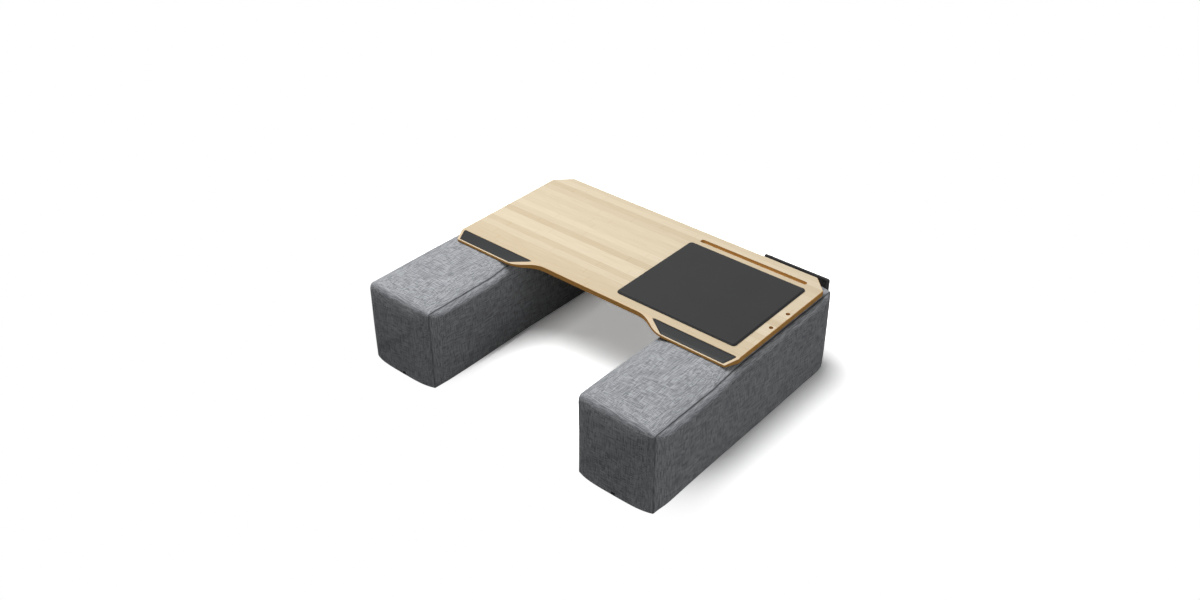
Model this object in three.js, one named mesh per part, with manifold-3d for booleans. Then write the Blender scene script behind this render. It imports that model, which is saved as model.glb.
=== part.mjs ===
// Couch desk: a bamboo board laid across two upholstered foam cushions. The board has set-in wrist
// rests, a mouse pad, a tablet slot and two stylus holes. A fabric pocket hangs behind the
// right-hand cushion. Millimetres, +Z up, +X to the user's right, +Y away from the user.
// The origin is the middle of the outline, on the surface that the cushions stand on.

import * as THREE from 'three';
import { mergeVertices } from 'three/addons/utils/BufferGeometryUtils.js';
import Module from 'manifold-3d';

const wasm = await Module();
wasm.setup();

// Clearances
const FIT_GAP = 0.3; // between pieces that touch, are glued or are sewn together
const RUNNING_GAP = 0.4; // round a piece that slides or turns

// Cushions
const CUSHION_LENGTH = 604; // over its swollen ends
const CUSHION_WIDTH = 196; // over its swollen sides
const CUSHION_HEIGHT = 202; // floor to the crown of the top
const LEG_SPACE = 384; // clear width between the two cushions
const TOP_BEND = 11; // radius of the strip's bend from the top into an end
const TOP_CROWN = 2;
const END_BULGE = 5;
const BULGE_AT_TOP = 0.4; // share of an end's bulge that is left at the top; at the floor it is whole
const SWELL_POWER = 4; // how flat a swelling end stays between its seams
const CROWN_POWERS = { across: 4, along: 8 }; // the same for the crown of the top
const SEAM_SLOPE = 18; // width over which the strip falls towards a seam
const SEAM_SLOPE_POWER = 1.5;
const TOP_DIP = 6; // how far it falls there on the top
const END_DIP = 2; // and on the ends
const SEAM_BASE_INSET = 3.5; // how much nearer to the middle a seam lies at the floor
const SEAM_TILT = THREE.MathUtils.degToRad(42); // how far a side panel leans out at its seam
const PUFF_RADIUS = 24; // of the arc in which it turns upright from there
const COVER_THICKNESS = 2; // woven cover with its padded lining

// Zip under each cushion
const ZIP_GROOVE_WIDTH = 22;
const ZIP_GROOVE_DEPTH = 7;
const ZIP_GROOVE_END = 14; // from the cushion's ends to the groove
const ZIP_GROOVE_CHAMFER = 3;
const ZIP_TAPE_WIDTH = 7.5;
const ZIP_TAPE_THICKNESS = 1.2;
const ZIP_TAB_DROP = 5.5; // folded end of the tape in the front face
const ZIP_COIL_WIDTH = 3;
const ZIP_COIL_HEIGHT = 1.3;
const ZIP_COIL_END = 4; // from the groove's ends to the coil
const SLIDER_LENGTH = 11;
const SLIDER_WIDTH = 7.4;
const SLIDER_WALL = 1.2;
const SLIDER_START = 12; // from the groove's front end to the slider
const BRIDGE_WIDTH = 2;
const BRIDGE_LENGTH = 6.4;
const BRIDGE_BAR = 1;
const BRIDGE_OPENING = 1.9;
const PULL_LENGTH = 22;
const PULL_WIDTH = 6;
const PULL_THICKNESS = 1.1;
const PULL_WINDOW_LENGTH = 3.4;

// Board
const BOARD_WIDTH = 742;
const BOARD_DEPTH = 365;
const BOARD_THICKNESS = 12;
const BOARD_EDGE_EASE = 0.8;
const BOARD_REAR_SETBACK = 8.9; // from the cushions' back to the board's rear edge
const BOARD_RIGHT_INSET = 8.5; // from the right cushion's outer side to the board's edge
const REAR_CHAMFER = 35.5;
const FRONT_CHAMFER_WIDTH = 13.3;
const FRONT_CHAMFER_DEPTH = 29;
const OUTLINE_RADIUS = 4;
const TONGUE_INNER = 211; // from the centre line to the inner end of a tongue's front edge
const WAIST_HALF = 124; // half the straight edge in front of the user's body
const WAIST_DEPTH = 28.8;
const WAIST_EASE = 0.45; // how far the sweep into the waist runs along each edge
const SLOPE_RUN = 32;
const TONGUE_FRONT_THICKNESS = 5.5;

// Wrist rests, set into the slope of each tongue
const REST_RECESS = 3;
const REST_FOAM = 1.5;
const REST_COVER = 1.2;
const REST_COVER_EASE = 0.4;
const REST_REAR_RIM = 1.2;
const REST_FRONT_RIM = 3;
const REST_RADIUS = 3;
const REST_INNER_REAR_RIM = 35; // from the end of the straight waist
const REST_INNER_FRONT_RIM = 7; // from the inner end of the tongue's front edge
const REST_OUTER_REAR_RIM = 6; // from the board's side
const REST_OUTER_FRONT_RIM = 18.5;

// Mouse pad
const PAD_WIDTH = 293;
const PAD_DEPTH = 257;
const PAD_RADIUS = 8;
const PAD_RIGHT_MARGIN = 27.8;
const PAD_FRONT_MARGIN = 52.6;
const PAD_BASE = 2;
const PAD_SURFACE = 0.9;
const PAD_RIM = 3;
const PAD_EASE = 0.4;

// Tablet slot and stylus holes
const SLOT_LENGTH = 269;
const SLOT_WIDTH = 12;
const SLOT_DEPTH = 8;
const SLOT_REAR_MARGIN = 34.4; // from the board's rear edge to the slot's middle
const SLOT_RIGHT_MARGIN = 40.3;
const STYLUS_DIAMETER = 9;
const STYLUS_DEPTH = 8.5;
const STYLUS_SIDE_MARGIN = 10;
const STYLUS_REAR_MARGINS = [152.2, 213];

// Non-slip strips under the board
const STRIP_WIDTH = 20;
const STRIP_LENGTH = 260;
const STRIP_THICKNESS = 1;
const STRIP_RADIUS = 5;
const STRIP_FRONT_MARGIN = 60;
const STRIP_SIDE_MARGINS = { outer: 28, inner: 112 };

// Pocket behind the right-hand cushion
const POCKET_WIDTH = 160;
const POCKET_SIDE_INSET = 22; // from the cushion's outer side
const POCKET_TOP = 214; // top of the back panel above the floor
const POCKET_HEIGHT = 160;
const POCKET_DEPTH = 16;
const POUCH_INSET = 16; // from the back panel's edges to the pouch sewn on it
const POCKET_MOUTH_DROP = 26; // from the back panel's top to the mouth
const POCKET_BACK_PANEL = 2.4;
const POCKET_PANEL = 2;
const POCKET_RADIUS = 4;
const BINDING_LAP = 6;
const BINDING_THICKNESS = 0.8;
const TAPE_WIDTH = 130;
const TAPE_HEIGHT = 25;
const TAPE_THICKNESS = 1.2;
const TAPE_DROP = 50; // from the back panel's top to the tape

// Smoothness of curves, in steps
const CORNER_STEPS = 5;
const SWEEP_STEPS = 12;
const ROUND_STEPS = 24;
const FORM_RINGS = [0, 3, 8, 13, 18]; // grid lines of the cover, from a seam or an edge
const FORM_FLATS = { x: 4, y: 6, z: 3 }; // spans between them
const CORE_RINGS = [0, 8, 18];
const CORE_FLATS = { x: 2, y: 4, z: 2 };
const MERGE_DISTANCE = 1e-4; // below this two corners are the same point

// Levels and places worked out from the sizes above
const STRIP_BASE = CUSHION_HEIGHT + FIT_GAP;
const BOARD_BASE = STRIP_BASE + STRIP_THICKNESS + FIT_GAP;
const CUSHION_BACK = CUSHION_LENGTH / 2;
const PUFF_REACH = PUFF_RADIUS * Math.cos(SEAM_TILT);
const SIDE_PUFF = PUFF_RADIUS * (1 - Math.sin(SEAM_TILT));
const SEAM_HALF = CUSHION_WIDTH / 2 - SIDE_PUFF; // from the middle to a seam, at the top
const BOARD_REAR = CUSHION_BACK - BOARD_REAR_SETBACK;
const BOARD_FRONT = BOARD_REAR - BOARD_DEPTH;
const OUTER_SIDE = LEG_SPACE / 2 + CUSHION_WIDTH;
const CUSHION_OFFSET = LEG_SPACE / 2 + CUSHION_WIDTH / 2;
const BOARD_RIGHT = OUTER_SIDE - BOARD_RIGHT_INSET;
const BOARD_CENTRE = BOARD_RIGHT - BOARD_WIDTH / 2;
const SLOPE_DROP = BOARD_THICKNESS - TONGUE_FRONT_THICKNESS;
const SLOPE_ANGLE = Math.atan2(SLOPE_DROP, SLOPE_RUN);
const SLOPE_LENGTH = Math.hypot(SLOPE_DROP, SLOPE_RUN);
const LOOP_FACE = endFace(POCKET_TOP - TAPE_DROP - TAPE_HEIGHT) + FIT_GAP;
const HOOK_FACE = LOOP_FACE + TAPE_THICKNESS + FIT_GAP;
const BACK_PANEL_FACE = HOOK_FACE + TAPE_THICKNESS + FIT_GAP;
const BINDING_FACE = BACK_PANEL_FACE - FIT_GAP - BINDING_THICKNESS;
const POCKET_INSIDE = BACK_PANEL_FACE + POCKET_BACK_PANEL;
const FRONT_PANEL_FACE = POCKET_INSIDE + POCKET_DEPTH;
const POCKET_OUTSIDE = FRONT_PANEL_FACE + POCKET_PANEL + FIT_GAP + BINDING_THICKNESS;
const POCKET_REACH = POCKET_OUTSIDE - CUSHION_BACK;
const CUT_MARGIN = 20; // how far a cutting tool reaches past what it cuts

// Materials
const finish = (color, roughness, metalness = 0) =>
  new THREE.MeshStandardMaterial({ color, roughness, metalness });
const fabric = finish('#6d7075', 0.95);
const foam = finish('#d9d4c4', 0.9);
const zipFabric = finish('#17181a', 0.8);
const zipNylon = finish('#222326', 0.5);
const zipMetal = finish('#3a3b3e', 0.35, 0.8);
const bamboo = finish('#dcc8a4', 0.5);
const leatherette = finish('#3a3b3c', 0.55);
const padRubber = finish('#191a1c', 0.7);
const padCloth = finish('#434343', 0.6);
const gripRubber = finish('#2a2a2b', 0.9);
const pocketFabric = finish('#2d2d2e', 0.9);

// A closed geometry as a solid for cutting and joining
function solid(geometry) {
  const bare = geometry.clone();
  bare.deleteAttribute('normal');
  bare.deleteAttribute('uv');
  const merged = mergeVertices(bare, MERGE_DISTANCE);
  return new wasm.Manifold(new wasm.Mesh({
    numProp: 3,
    vertProperties: new Float32Array(merged.attributes.position.array),
    triVerts: new Uint32Array(merged.index.array),
  }));
}

// A cut or joined solid as a geometry again
function geometryOf(body) {
  const mesh = body.getMesh();
  const points = new Float32Array(mesh.numVert * 3);
  for (let i = 0; i < mesh.numVert; i++) {
    for (let k = 0; k < 3; k++) points[3 * i + k] = mesh.vertProperties[mesh.numProp * i + k];
  }
  const geometry = new THREE.BufferGeometry();
  geometry.setAttribute('position', new THREE.BufferAttribute(points, 3));
  geometry.setIndex(new THREE.BufferAttribute(new Uint32Array(mesh.triVerts), 1));
  geometry.computeVertexNormals();
  return geometry;
}

function piece(name, geometry, material) {
  const mesh = new THREE.Mesh(geometry, material);
  mesh.name = name;
  return mesh;
}

// A box between two corners
function block(low, high) {
  const size = high.map((value, k) => value - low[k]);
  const middle = high.map((value, k) => (value + low[k]) / 2);
  return new THREE.BoxGeometry(...size).translate(...middle);
}

// A flat outline raised along Z, with its edges eased by a small bevel
function plate(shape, thickness, ease = 0, steps = CORNER_STEPS) {
  return new THREE.ExtrudeGeometry(shape, {
    depth: thickness - 2 * ease,
    bevelEnabled: ease > 0,
    bevelThickness: ease,
    bevelSize: ease,
    bevelOffset: -ease,
    bevelSegments: 1,
    curveSegments: steps,
  }).translate(0, 0, ease);
}

// An outline drawn in (y, z), carried along X
function alongX(shape, from, to) {
  const turn = new THREE.Matrix4().makeBasis(
    new THREE.Vector3(0, 1, 0), new THREE.Vector3(0, 0, 1), new THREE.Vector3(1, 0, 0));
  return plate(shape, to - from).applyMatrix4(turn).translate(from, 0, 0);
}

// An outline drawn in (x, z), carried along Y
function alongY(shape, from, to) {
  const turn = new THREE.Matrix4().makeBasis(
    new THREE.Vector3(1, 0, 0), new THREE.Vector3(0, 0, 1), new THREE.Vector3(0, -1, 0));
  return plate(shape, to - from).applyMatrix4(turn).translate(0, to, 0);
}

// Draws the line up to a corner and the arc round it
function roundCorner(shape, before, at, after, radius) {
  const into = at.clone().sub(before).normalize();
  const out = after.clone().sub(at).normalize();
  const turn = Math.atan2(into.cross(out), into.dot(out));
  const hand = Math.sign(turn);
  const start = at.clone().addScaledVector(into, -radius * Math.tan(Math.abs(turn) / 2));
  const centre = start.clone().add(new THREE.Vector2(-into.y, into.x).multiplyScalar(hand * radius));
  const angle = Math.atan2(start.y - centre.y, start.x - centre.x);
  shape.absarc(centre.x, centre.y, radius, angle, angle + turn, hand < 0);
}

// A closed outline through corner points, with every corner rounded alike or left sharp
function outline(corners, radius) {
  const points = corners.map(([x, y]) => new THREE.Vector2(x, y));
  if (radius === 0) return new THREE.Shape(points);
  const shape = new THREE.Shape();
  points.forEach((at, i) => {
    const before = points[(i + points.length - 1) % points.length];
    const after = points[(i + 1) % points.length];
    roundCorner(shape, before, at, after, radius);
  });
  shape.closePath();
  return shape;
}

function rectangle(left, right, low, high, radius = 0) {
  return outline([[left, low], [right, low], [right, high], [left, high]], radius);
}

// Cushion form: one strip of cloth runs over the front, the top and the back. A side panel is sewn to
// each of its edges and swells outwards from that seam.
// Grid lines lie closer together near the seams.
function gridStops(low, high, rings, steps) {
  const first = low + rings.at(-1);
  const last = high - rings.at(-1);
  const even = [];
  for (let i = 1; i < steps; i++) even.push(first + (last - first) * i / steps);
  return [...rings.map((d) => low + d), ...even, ...rings.map((d) => high - d).reverse()];
}

// How far the strip's edge is from the middle at a height above the floor
function seamHalf(height) {
  return SEAM_HALF - SEAM_BASE_INSET * (1 - height / CUSHION_HEIGHT);
}

// How far a side panel stands out at a distance from its edge: an arc that turns upright
function puff(distance) {
  const below = Math.max(PUFF_REACH - distance, 0);
  return Math.sqrt(PUFF_RADIUS ** 2 - below ** 2) - PUFF_RADIUS * Math.sin(SEAM_TILT);
}

// How far an end swells, from its place between the seams, 0 to 1, and its height
function endSwell(across, height) {
  const share = 1 - (1 - BULGE_AT_TOP) * (height / CUSHION_HEIGHT) ** 2;
  return END_BULGE * (1 - across ** SWELL_POWER) * share;
}

// How far the middle of an end stands out at a height above the floor
function endFace(height) {
  return CUSHION_LENGTH / 2 - END_BULGE + endSwell(0, height);
}

function crown(across, along) {
  return TOP_CROWN * (1 - across ** CROWN_POWERS.across) * (1 - along ** CROWN_POWERS.along);
}

// A point of the plain box, x, y, z, carried to the cushion's form
function coverPoint([x, y, z], { inset, width, length, top }) {
  const across = Math.abs(x) / width;
  const along = Math.abs(y) / length;
  const ring = across === 1 ? Math.min(length - Math.abs(y), z - inset, top - z) : 0;
  const fall = Math.max(1 - (width - Math.abs(x)) / SEAM_SLOPE, 0) ** SEAM_SLOPE_POWER;
  const lengthen = 1 - END_DIP * fall / length;
  const heighten = 1 - TOP_DIP * fall / (top - inset);
  const bend = Math.max(TOP_BEND - inset - ring, 0);
  const corner = new THREE.Vector2((length - ring) * lengthen - bend,
    inset + (top - ring - inset) * heighten - bend);
  const at = new THREE.Vector2(Math.abs(y) * lengthen, inset + (z - inset) * heighten);
  const out = at.clone().sub(corner);
  const facing = new THREE.Vector2(along === 1 ? 1 : 0, z === top ? 1 : 0);
  if (bend > 0 && out.x > 0 && out.y > 0) {
    facing.copy(out).normalize();
    at.copy(corner).addScaledVector(facing, bend);
  }
  at.x += facing.x * endSwell(across, at.y);
  const half = seamHalf(at.y) - inset;
  at.y += facing.y * crown(across, along);
  return [Math.sign(x) * (across * half + puff(ring)), Math.sign(y) * at.x, at.y];
}

function cushionForm(inset, rings, flats) {
  const size = {
    inset,
    width: SEAM_HALF - inset,
    length: CUSHION_LENGTH / 2 - END_BULGE - inset,
    top: CUSHION_HEIGHT - TOP_CROWN - inset,
  };
  const stops = [
    gridStops(-size.width, size.width, rings, flats.x),
    gridStops(-size.length, size.length, rings, flats.y),
    gridStops(inset, size.top, rings, flats.z)];
  const spans = stops.map((list) => list.length - 1);
  const geometry = new THREE.BoxGeometry(2, 2, 2, ...spans);
  const position = geometry.attributes.position;
  const place = new THREE.Vector3();
  for (let i = 0; i < position.count; i++) {
    place.fromBufferAttribute(position, i);
    const grid = place.toArray().map((value, n) => stops[n][Math.round((value + 1) / 2 * spans[n])]);
    position.setXYZ(i, ...coverPoint(grid, size));
  }
  return solid(geometry);
}

// The groove that the zip lies in, grown on every side for the layers above it
function zipGroove(grow) {
  const side = ZIP_GROOVE_WIDTH / 2 + grow;
  const roof = ZIP_GROOVE_DEPTH + grow;
  const end = CUSHION_LENGTH / 2 - ZIP_GROOVE_END + grow;
  const chamfer = ZIP_GROOVE_CHAMFER;
  const section = outline([
    [-side, -CUT_MARGIN], [side, -CUT_MARGIN], [side, roof - chamfer],
    [side - chamfer, roof], [chamfer - side, roof], [-side, roof - chamfer]], 0);
  return solid(alongY(section, -end, end));
}

// Zip levels and ends, in the cushion's own frame
const ZIP_TAPE_BASE = ZIP_GROOVE_DEPTH + FIT_GAP;
const ZIP_TAPE_TOP = ZIP_TAPE_BASE + ZIP_TAPE_THICKNESS;
const ZIP_END = CUSHION_LENGTH / 2 - ZIP_GROOVE_END;
const ZIP_COIL_TOP = ZIP_TAPE_BASE - FIT_GAP;
const ZIP_COIL_BASE = ZIP_COIL_TOP - ZIP_COIL_HEIGHT;
const SLIDER_BASE = ZIP_COIL_BASE - RUNNING_GAP - SLIDER_WALL;
const SLIDER_MIDDLE = -ZIP_END + SLIDER_START + SLIDER_LENGTH / 2;
const BRIDGE_BASE = SLIDER_BASE - BRIDGE_OPENING - BRIDGE_BAR;
const PULL_AXIS_Z = SLIDER_BASE - BRIDGE_OPENING / 2;
const PULL_AXIS_Y = SLIDER_MIDDLE + BRIDGE_LENGTH / 2 - BRIDGE_BAR - RUNNING_GAP - PULL_THICKNESS / 2;

// Opening for the zip: a slit along the groove's roof and a notch through the front wall
function zipOpening(grow) {
  const side = ZIP_TAPE_WIDTH / 2 + grow;
  const slit = solid(block([-side, -ZIP_END, ZIP_GROOVE_DEPTH - CUT_MARGIN],
    [side, ZIP_END, ZIP_TAPE_TOP + COVER_THICKNESS + grow]));
  const notch = solid(block([-side, -CUSHION_LENGTH / 2 - CUT_MARGIN, -CUT_MARGIN],
    [side, -ZIP_END, ZIP_TAPE_TOP + grow]));
  return slit.add(notch);
}

// Everything between two seams that run straight from the floor to the top, each given by its x at
// the floor and at the top
function betweenSeams(left, right) {
  const low = -CUT_MARGIN;
  const high = CUSHION_HEIGHT + CUT_MARGIN;
  const at = ([base, top], level) => base + (top - base) * level / CUSHION_HEIGHT;
  const section = outline([
    [at(left, low), low], [at(right, low), low], [at(right, high), high], [at(left, high), high]], 0);
  return solid(alongY(section, -CUSHION_LENGTH, CUSHION_LENGTH));
}

// Cover: a thin shell cut along its seams into a front, top and back strip and two side panels,
// each of which runs on under the cushion to the zip
function coverPanels() {
  const outer = cushionForm(0, FORM_RINGS, FORM_FLATS).subtract(zipGroove(0));
  const inner = cushionForm(COVER_THICKNESS, CORE_RINGS, CORE_FLATS)
    .subtract(zipGroove(COVER_THICKNESS));
  const shell = outer.subtract(inner).subtract(zipOpening(FIT_GAP));
  const reach = CUSHION_LENGTH;
  const seam = (gap) => [seamHalf(0) + gap / 2, SEAM_HALF + gap / 2];
  const base = (grow) => solid(block([-reach, -reach, -CUT_MARGIN],
    [reach, reach, COVER_THICKNESS + grow])).add(zipGroove(COVER_THICKNESS + grow));
  const rightHalf = solid(block([FIT_GAP / 2, -reach, -reach], [reach, reach, reach]));
  const rightSide = base(0).intersect(rightHalf).add(betweenSeams(seam(FIT_GAP), [reach, reach]));
  const strip = betweenSeams(seam(-FIT_GAP).map((x) => -x), seam(-FIT_GAP));
  return {
    top: shell.intersect(strip).subtract(base(FIT_GAP)),
    right: shell.intersect(rightSide),
    left: shell.intersect(rightSide.mirror([1, 0, 0])),
  };
}

function foamCore() {
  const inset = COVER_THICKNESS + FIT_GAP;
  return cushionForm(inset, CORE_RINGS, CORE_FLATS)
    .subtract(zipGroove(inset)).subtract(zipOpening(2 * FIT_GAP));
}

// Zip tape: a strip along the slit, with its front end folded down level with the front face
function zipTape() {
  const front = -endFace(ZIP_TAPE_TOP);
  const face = front + ZIP_TAPE_THICKNESS;
  const rear = ZIP_END - FIT_GAP;
  const profile = outline([
    [front, ZIP_TAPE_TOP - ZIP_TAB_DROP], [face, ZIP_TAPE_TOP - ZIP_TAB_DROP],
    [face, ZIP_TAPE_BASE], [rear, ZIP_TAPE_BASE], [rear, ZIP_TAPE_TOP], [front, ZIP_TAPE_TOP]], 0);
  return alongX(profile, -ZIP_TAPE_WIDTH / 2, ZIP_TAPE_WIDTH / 2);
}

function zipCoil() {
  const shape = new THREE.Shape();
  shape.moveTo(-ZIP_COIL_WIDTH / 2, ZIP_COIL_TOP);
  shape.bezierCurveTo(-ZIP_COIL_WIDTH / 2, ZIP_COIL_BASE, -ZIP_COIL_WIDTH / 4, ZIP_COIL_BASE,
    0, ZIP_COIL_BASE);
  shape.bezierCurveTo(ZIP_COIL_WIDTH / 4, ZIP_COIL_BASE, ZIP_COIL_WIDTH / 2, ZIP_COIL_BASE,
    ZIP_COIL_WIDTH / 2, ZIP_COIL_TOP);
  shape.closePath();
  return alongY(shape, -ZIP_END + ZIP_COIL_END, ZIP_END - ZIP_COIL_END);
}

// Slider: a saddle that clasps the coil from below, with an arched bridge for the pull
function zipSlider() {
  const side = SLIDER_WIDTH / 2;
  const channel = ZIP_COIL_WIDTH / 2 + RUNNING_GAP;
  const top = ZIP_TAPE_BASE - RUNNING_GAP;
  const saddle = outline([
    [-side, SLIDER_BASE], [side, SLIDER_BASE], [side, top], [channel, top],
    [channel, ZIP_COIL_BASE - RUNNING_GAP], [-channel, ZIP_COIL_BASE - RUNNING_GAP],
    [-channel, top], [-side, top]], 0);
  const body = solid(alongY(saddle, SLIDER_MIDDLE - SLIDER_LENGTH / 2,
    SLIDER_MIDDLE + SLIDER_LENGTH / 2));
  const front = SLIDER_MIDDLE - BRIDGE_LENGTH / 2;
  const rear = SLIDER_MIDDLE + BRIDGE_LENGTH / 2;
  const root = SLIDER_BASE + SLIDER_WALL / 2;
  const arch = outline([
    [front, BRIDGE_BASE], [rear, BRIDGE_BASE], [rear, root], [rear - BRIDGE_BAR, root],
    [rear - BRIDGE_BAR, BRIDGE_BASE + BRIDGE_BAR], [front + BRIDGE_BAR, BRIDGE_BASE + BRIDGE_BAR],
    [front + BRIDGE_BAR, root], [front, root]], 0);
  return geometryOf(body.add(solid(alongX(arch, -BRIDGE_WIDTH / 2, BRIDGE_WIDTH / 2))));
}

// Pull: a flat tab whose window hooks round the bridge, lying towards the back
function zipPull() {
  const start = PULL_AXIS_Y - PULL_THICKNESS / 2;
  const window = BRIDGE_WIDTH / 2 + RUNNING_GAP;
  const tab = rectangle(-PULL_WIDTH / 2, PULL_WIDTH / 2, start, start + PULL_LENGTH,
    PULL_THICKNESS / 2);
  const eye = new THREE.Path();
  eye.moveTo(-window, start + PULL_THICKNESS);
  eye.lineTo(-window, start + PULL_THICKNESS + PULL_WINDOW_LENGTH);
  eye.lineTo(window, start + PULL_THICKNESS + PULL_WINDOW_LENGTH);
  eye.lineTo(window, start + PULL_THICKNESS);
  eye.closePath();
  tab.holes.push(eye);
  return plate(tab, PULL_THICKNESS).translate(0, 0, PULL_AXIS_Z - PULL_THICKNESS / 2);
}

// One cushion, standing on the floor with its middle at the group's origin
function cushion(side) {
  const group = new THREE.Group();
  const panels = coverPanels();
  group.add(piece(`${side}_cover_top`, geometryOf(panels.top), fabric));
  group.add(piece(`${side}_cover_right_side`, geometryOf(panels.right), fabric));
  group.add(piece(`${side}_cover_left_side`, geometryOf(panels.left), fabric));
  group.add(piece(`${side}_foam_core`, geometryOf(foamCore()), foam));
  group.add(piece(`${side}_zip_tape`, zipTape(), zipFabric));
  group.add(piece(`${side}_zip_coil`, zipCoil(), zipNylon));
  group.add(piece(`${side}_zip_slider`, zipSlider(), zipMetal));
  group.add(piece(`${side}_zip_pull`, zipPull(), zipMetal));
  return group;
}

// Board outline, from its front edge: two tongues for the wrists, a waist between them that
// sweeps back for the user's body, and cut-off corners
function boardOutline() {
  const half = BOARD_WIDTH / 2;
  const corners = [
    [TONGUE_INNER, 0], [half - FRONT_CHAMFER_WIDTH, 0], [half, FRONT_CHAMFER_DEPTH],
    [half, BOARD_DEPTH - REAR_CHAMFER], [half - REAR_CHAMFER, BOARD_DEPTH]];
  const mirrored = corners.map(([x, y]) => [-x, y]).reverse();
  const points = [...corners, ...mirrored].map(([x, y]) => new THREE.Vector2(x, y));
  const shape = new THREE.Shape();
  shape.moveTo(points[0].x, points[0].y);
  for (let i = 1; i < points.length - 1; i++) {
    roundCorner(shape, points[i - 1], points[i], points[i + 1], OUTLINE_RADIUS);
  }
  const ease = WAIST_EASE * (TONGUE_INNER - WAIST_HALF);
  shape.lineTo(-TONGUE_INNER, 0);
  shape.bezierCurveTo(ease - TONGUE_INNER, 0, -WAIST_HALF - ease, WAIST_DEPTH,
    -WAIST_HALF, WAIST_DEPTH);
  shape.lineTo(WAIST_HALF, WAIST_DEPTH);
  shape.bezierCurveTo(WAIST_HALF + ease, WAIST_DEPTH, TONGUE_INNER - ease, 0, TONGUE_INNER, 0);
  return shape;
}

// The wrist rests' frame: x along the board, y up the slope, origin on the crease above it
function slopeFrame() {
  const frame = new THREE.Group();
  frame.position.set(0, SLOPE_RUN, BOARD_THICKNESS);
  frame.rotation.x = SLOPE_ANGLE;
  frame.updateMatrix();
  return frame;
}

// Outline of one wrist rest on the slope; hand is 1 for the right one and -1 for the left one
function restOutline(hand, grow) {
  const half = BOARD_WIDTH / 2;
  const rear = grow - REST_REAR_RIM;
  const front = REST_FRONT_RIM - SLOPE_LENGTH - grow;
  const corners = [
    [TONGUE_INNER - REST_INNER_FRONT_RIM - grow, front],
    [half - REST_OUTER_FRONT_RIM + grow, front],
    [half - REST_OUTER_REAR_RIM + grow, rear],
    [WAIST_HALF + REST_INNER_REAR_RIM - grow, rear]];
  const placed = corners.map(([x, y]) => [hand * x, y]);
  return outline(hand > 0 ? placed : placed.reverse(), REST_RADIUS);
}

// Everything above the sloping tops of the tongues
function slopeCut() {
  const rise = SLOPE_DROP / SLOPE_RUN;
  const low = BOARD_THICKNESS - SLOPE_DROP - rise * CUT_MARGIN;
  const above = BOARD_THICKNESS + CUT_MARGIN;
  const section = outline([
    [-CUT_MARGIN, low], [SLOPE_RUN, BOARD_THICKNESS], [SLOPE_RUN, above], [-CUT_MARGIN, above]], 0);
  return solid(alongX(section, -BOARD_WIDTH, BOARD_WIDTH));
}

function tabletSlot() {
  const right = BOARD_WIDTH / 2 - SLOT_RIGHT_MARGIN;
  const middle = BOARD_DEPTH - SLOT_REAR_MARGIN;
  const radius = SLOT_WIDTH / 2;
  const shape = new THREE.Shape();
  shape.absarc(right - radius, middle, radius, -Math.PI / 2, Math.PI / 2);
  shape.absarc(right - SLOT_LENGTH + radius, middle, radius, Math.PI / 2, 3 * Math.PI / 2);
  shape.closePath();
  return solid(plate(shape, SLOT_DEPTH + CUT_MARGIN, 0, ROUND_STEPS / 2)
    .translate(0, 0, BOARD_THICKNESS - SLOT_DEPTH));
}

function stylusHole(rearMargin) {
  const height = STYLUS_DEPTH + CUT_MARGIN;
  const hole = new THREE.CylinderGeometry(STYLUS_DIAMETER / 2, STYLUS_DIAMETER / 2, height, ROUND_STEPS)
    .rotateX(Math.PI / 2)
    .translate(BOARD_WIDTH / 2 - STYLUS_SIDE_MARGIN, BOARD_DEPTH - rearMargin,
      BOARD_THICKNESS - STYLUS_DEPTH + height / 2);
  return solid(hole);
}

function boardPanel() {
  const frame = slopeFrame();
  let body = solid(plate(boardOutline(), BOARD_THICKNESS, BOARD_EDGE_EASE, SWEEP_STEPS));
  body = body.subtract(slopeCut()).subtract(tabletSlot());
  for (const margin of STYLUS_REAR_MARGINS) body = body.subtract(stylusHole(margin));
  for (const hand of [-1, 1]) {
    const recess = plate(restOutline(hand, FIT_GAP), REST_RECESS + CUT_MARGIN)
      .translate(0, 0, -REST_RECESS).applyMatrix4(frame.matrix);
    body = body.subtract(solid(recess));
  }
  return geometryOf(body);
}

// Wrist rests: a thin foam bed with a leatherette cover, level with the slope around them
function wristRests() {
  const frame = slopeFrame();
  for (const [side, hand] of [['left', -1], ['right', 1]]) {
    const bed = plate(restOutline(hand, 0), REST_FOAM).translate(0, 0, FIT_GAP - REST_RECESS);
    const cover = plate(restOutline(hand, 0), REST_COVER, REST_COVER_EASE)
      .translate(0, 0, REST_FOAM + 2 * FIT_GAP - REST_RECESS);
    frame.add(piece(`${side}_wrist_rest_foam`, bed, foam));
    frame.add(piece(`${side}_wrist_rest_cover`, cover, leatherette));
  }
  return frame;
}

// Mouse pad: a rubber base with a smooth working surface inside its rim
function mousePad() {
  const group = new THREE.Group();
  const right = BOARD_WIDTH / 2 - PAD_RIGHT_MARGIN;
  const left = right - PAD_WIDTH;
  const front = PAD_FRONT_MARGIN;
  const rear = front + PAD_DEPTH;
  const base = plate(rectangle(left, right, front, rear, PAD_RADIUS), PAD_BASE, PAD_EASE);
  const surface = plate(rectangle(left + PAD_RIM, right - PAD_RIM, front + PAD_RIM, rear - PAD_RIM,
    PAD_RADIUS - PAD_RIM), PAD_SURFACE, PAD_EASE);
  group.add(piece('mouse_pad_base', base.translate(0, 0, FIT_GAP), padRubber));
  group.add(piece('mouse_pad_surface', surface.translate(0, 0, PAD_BASE + 2 * FIT_GAP), padCloth));
  group.position.z = BOARD_THICKNESS;
  return group;
}

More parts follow.
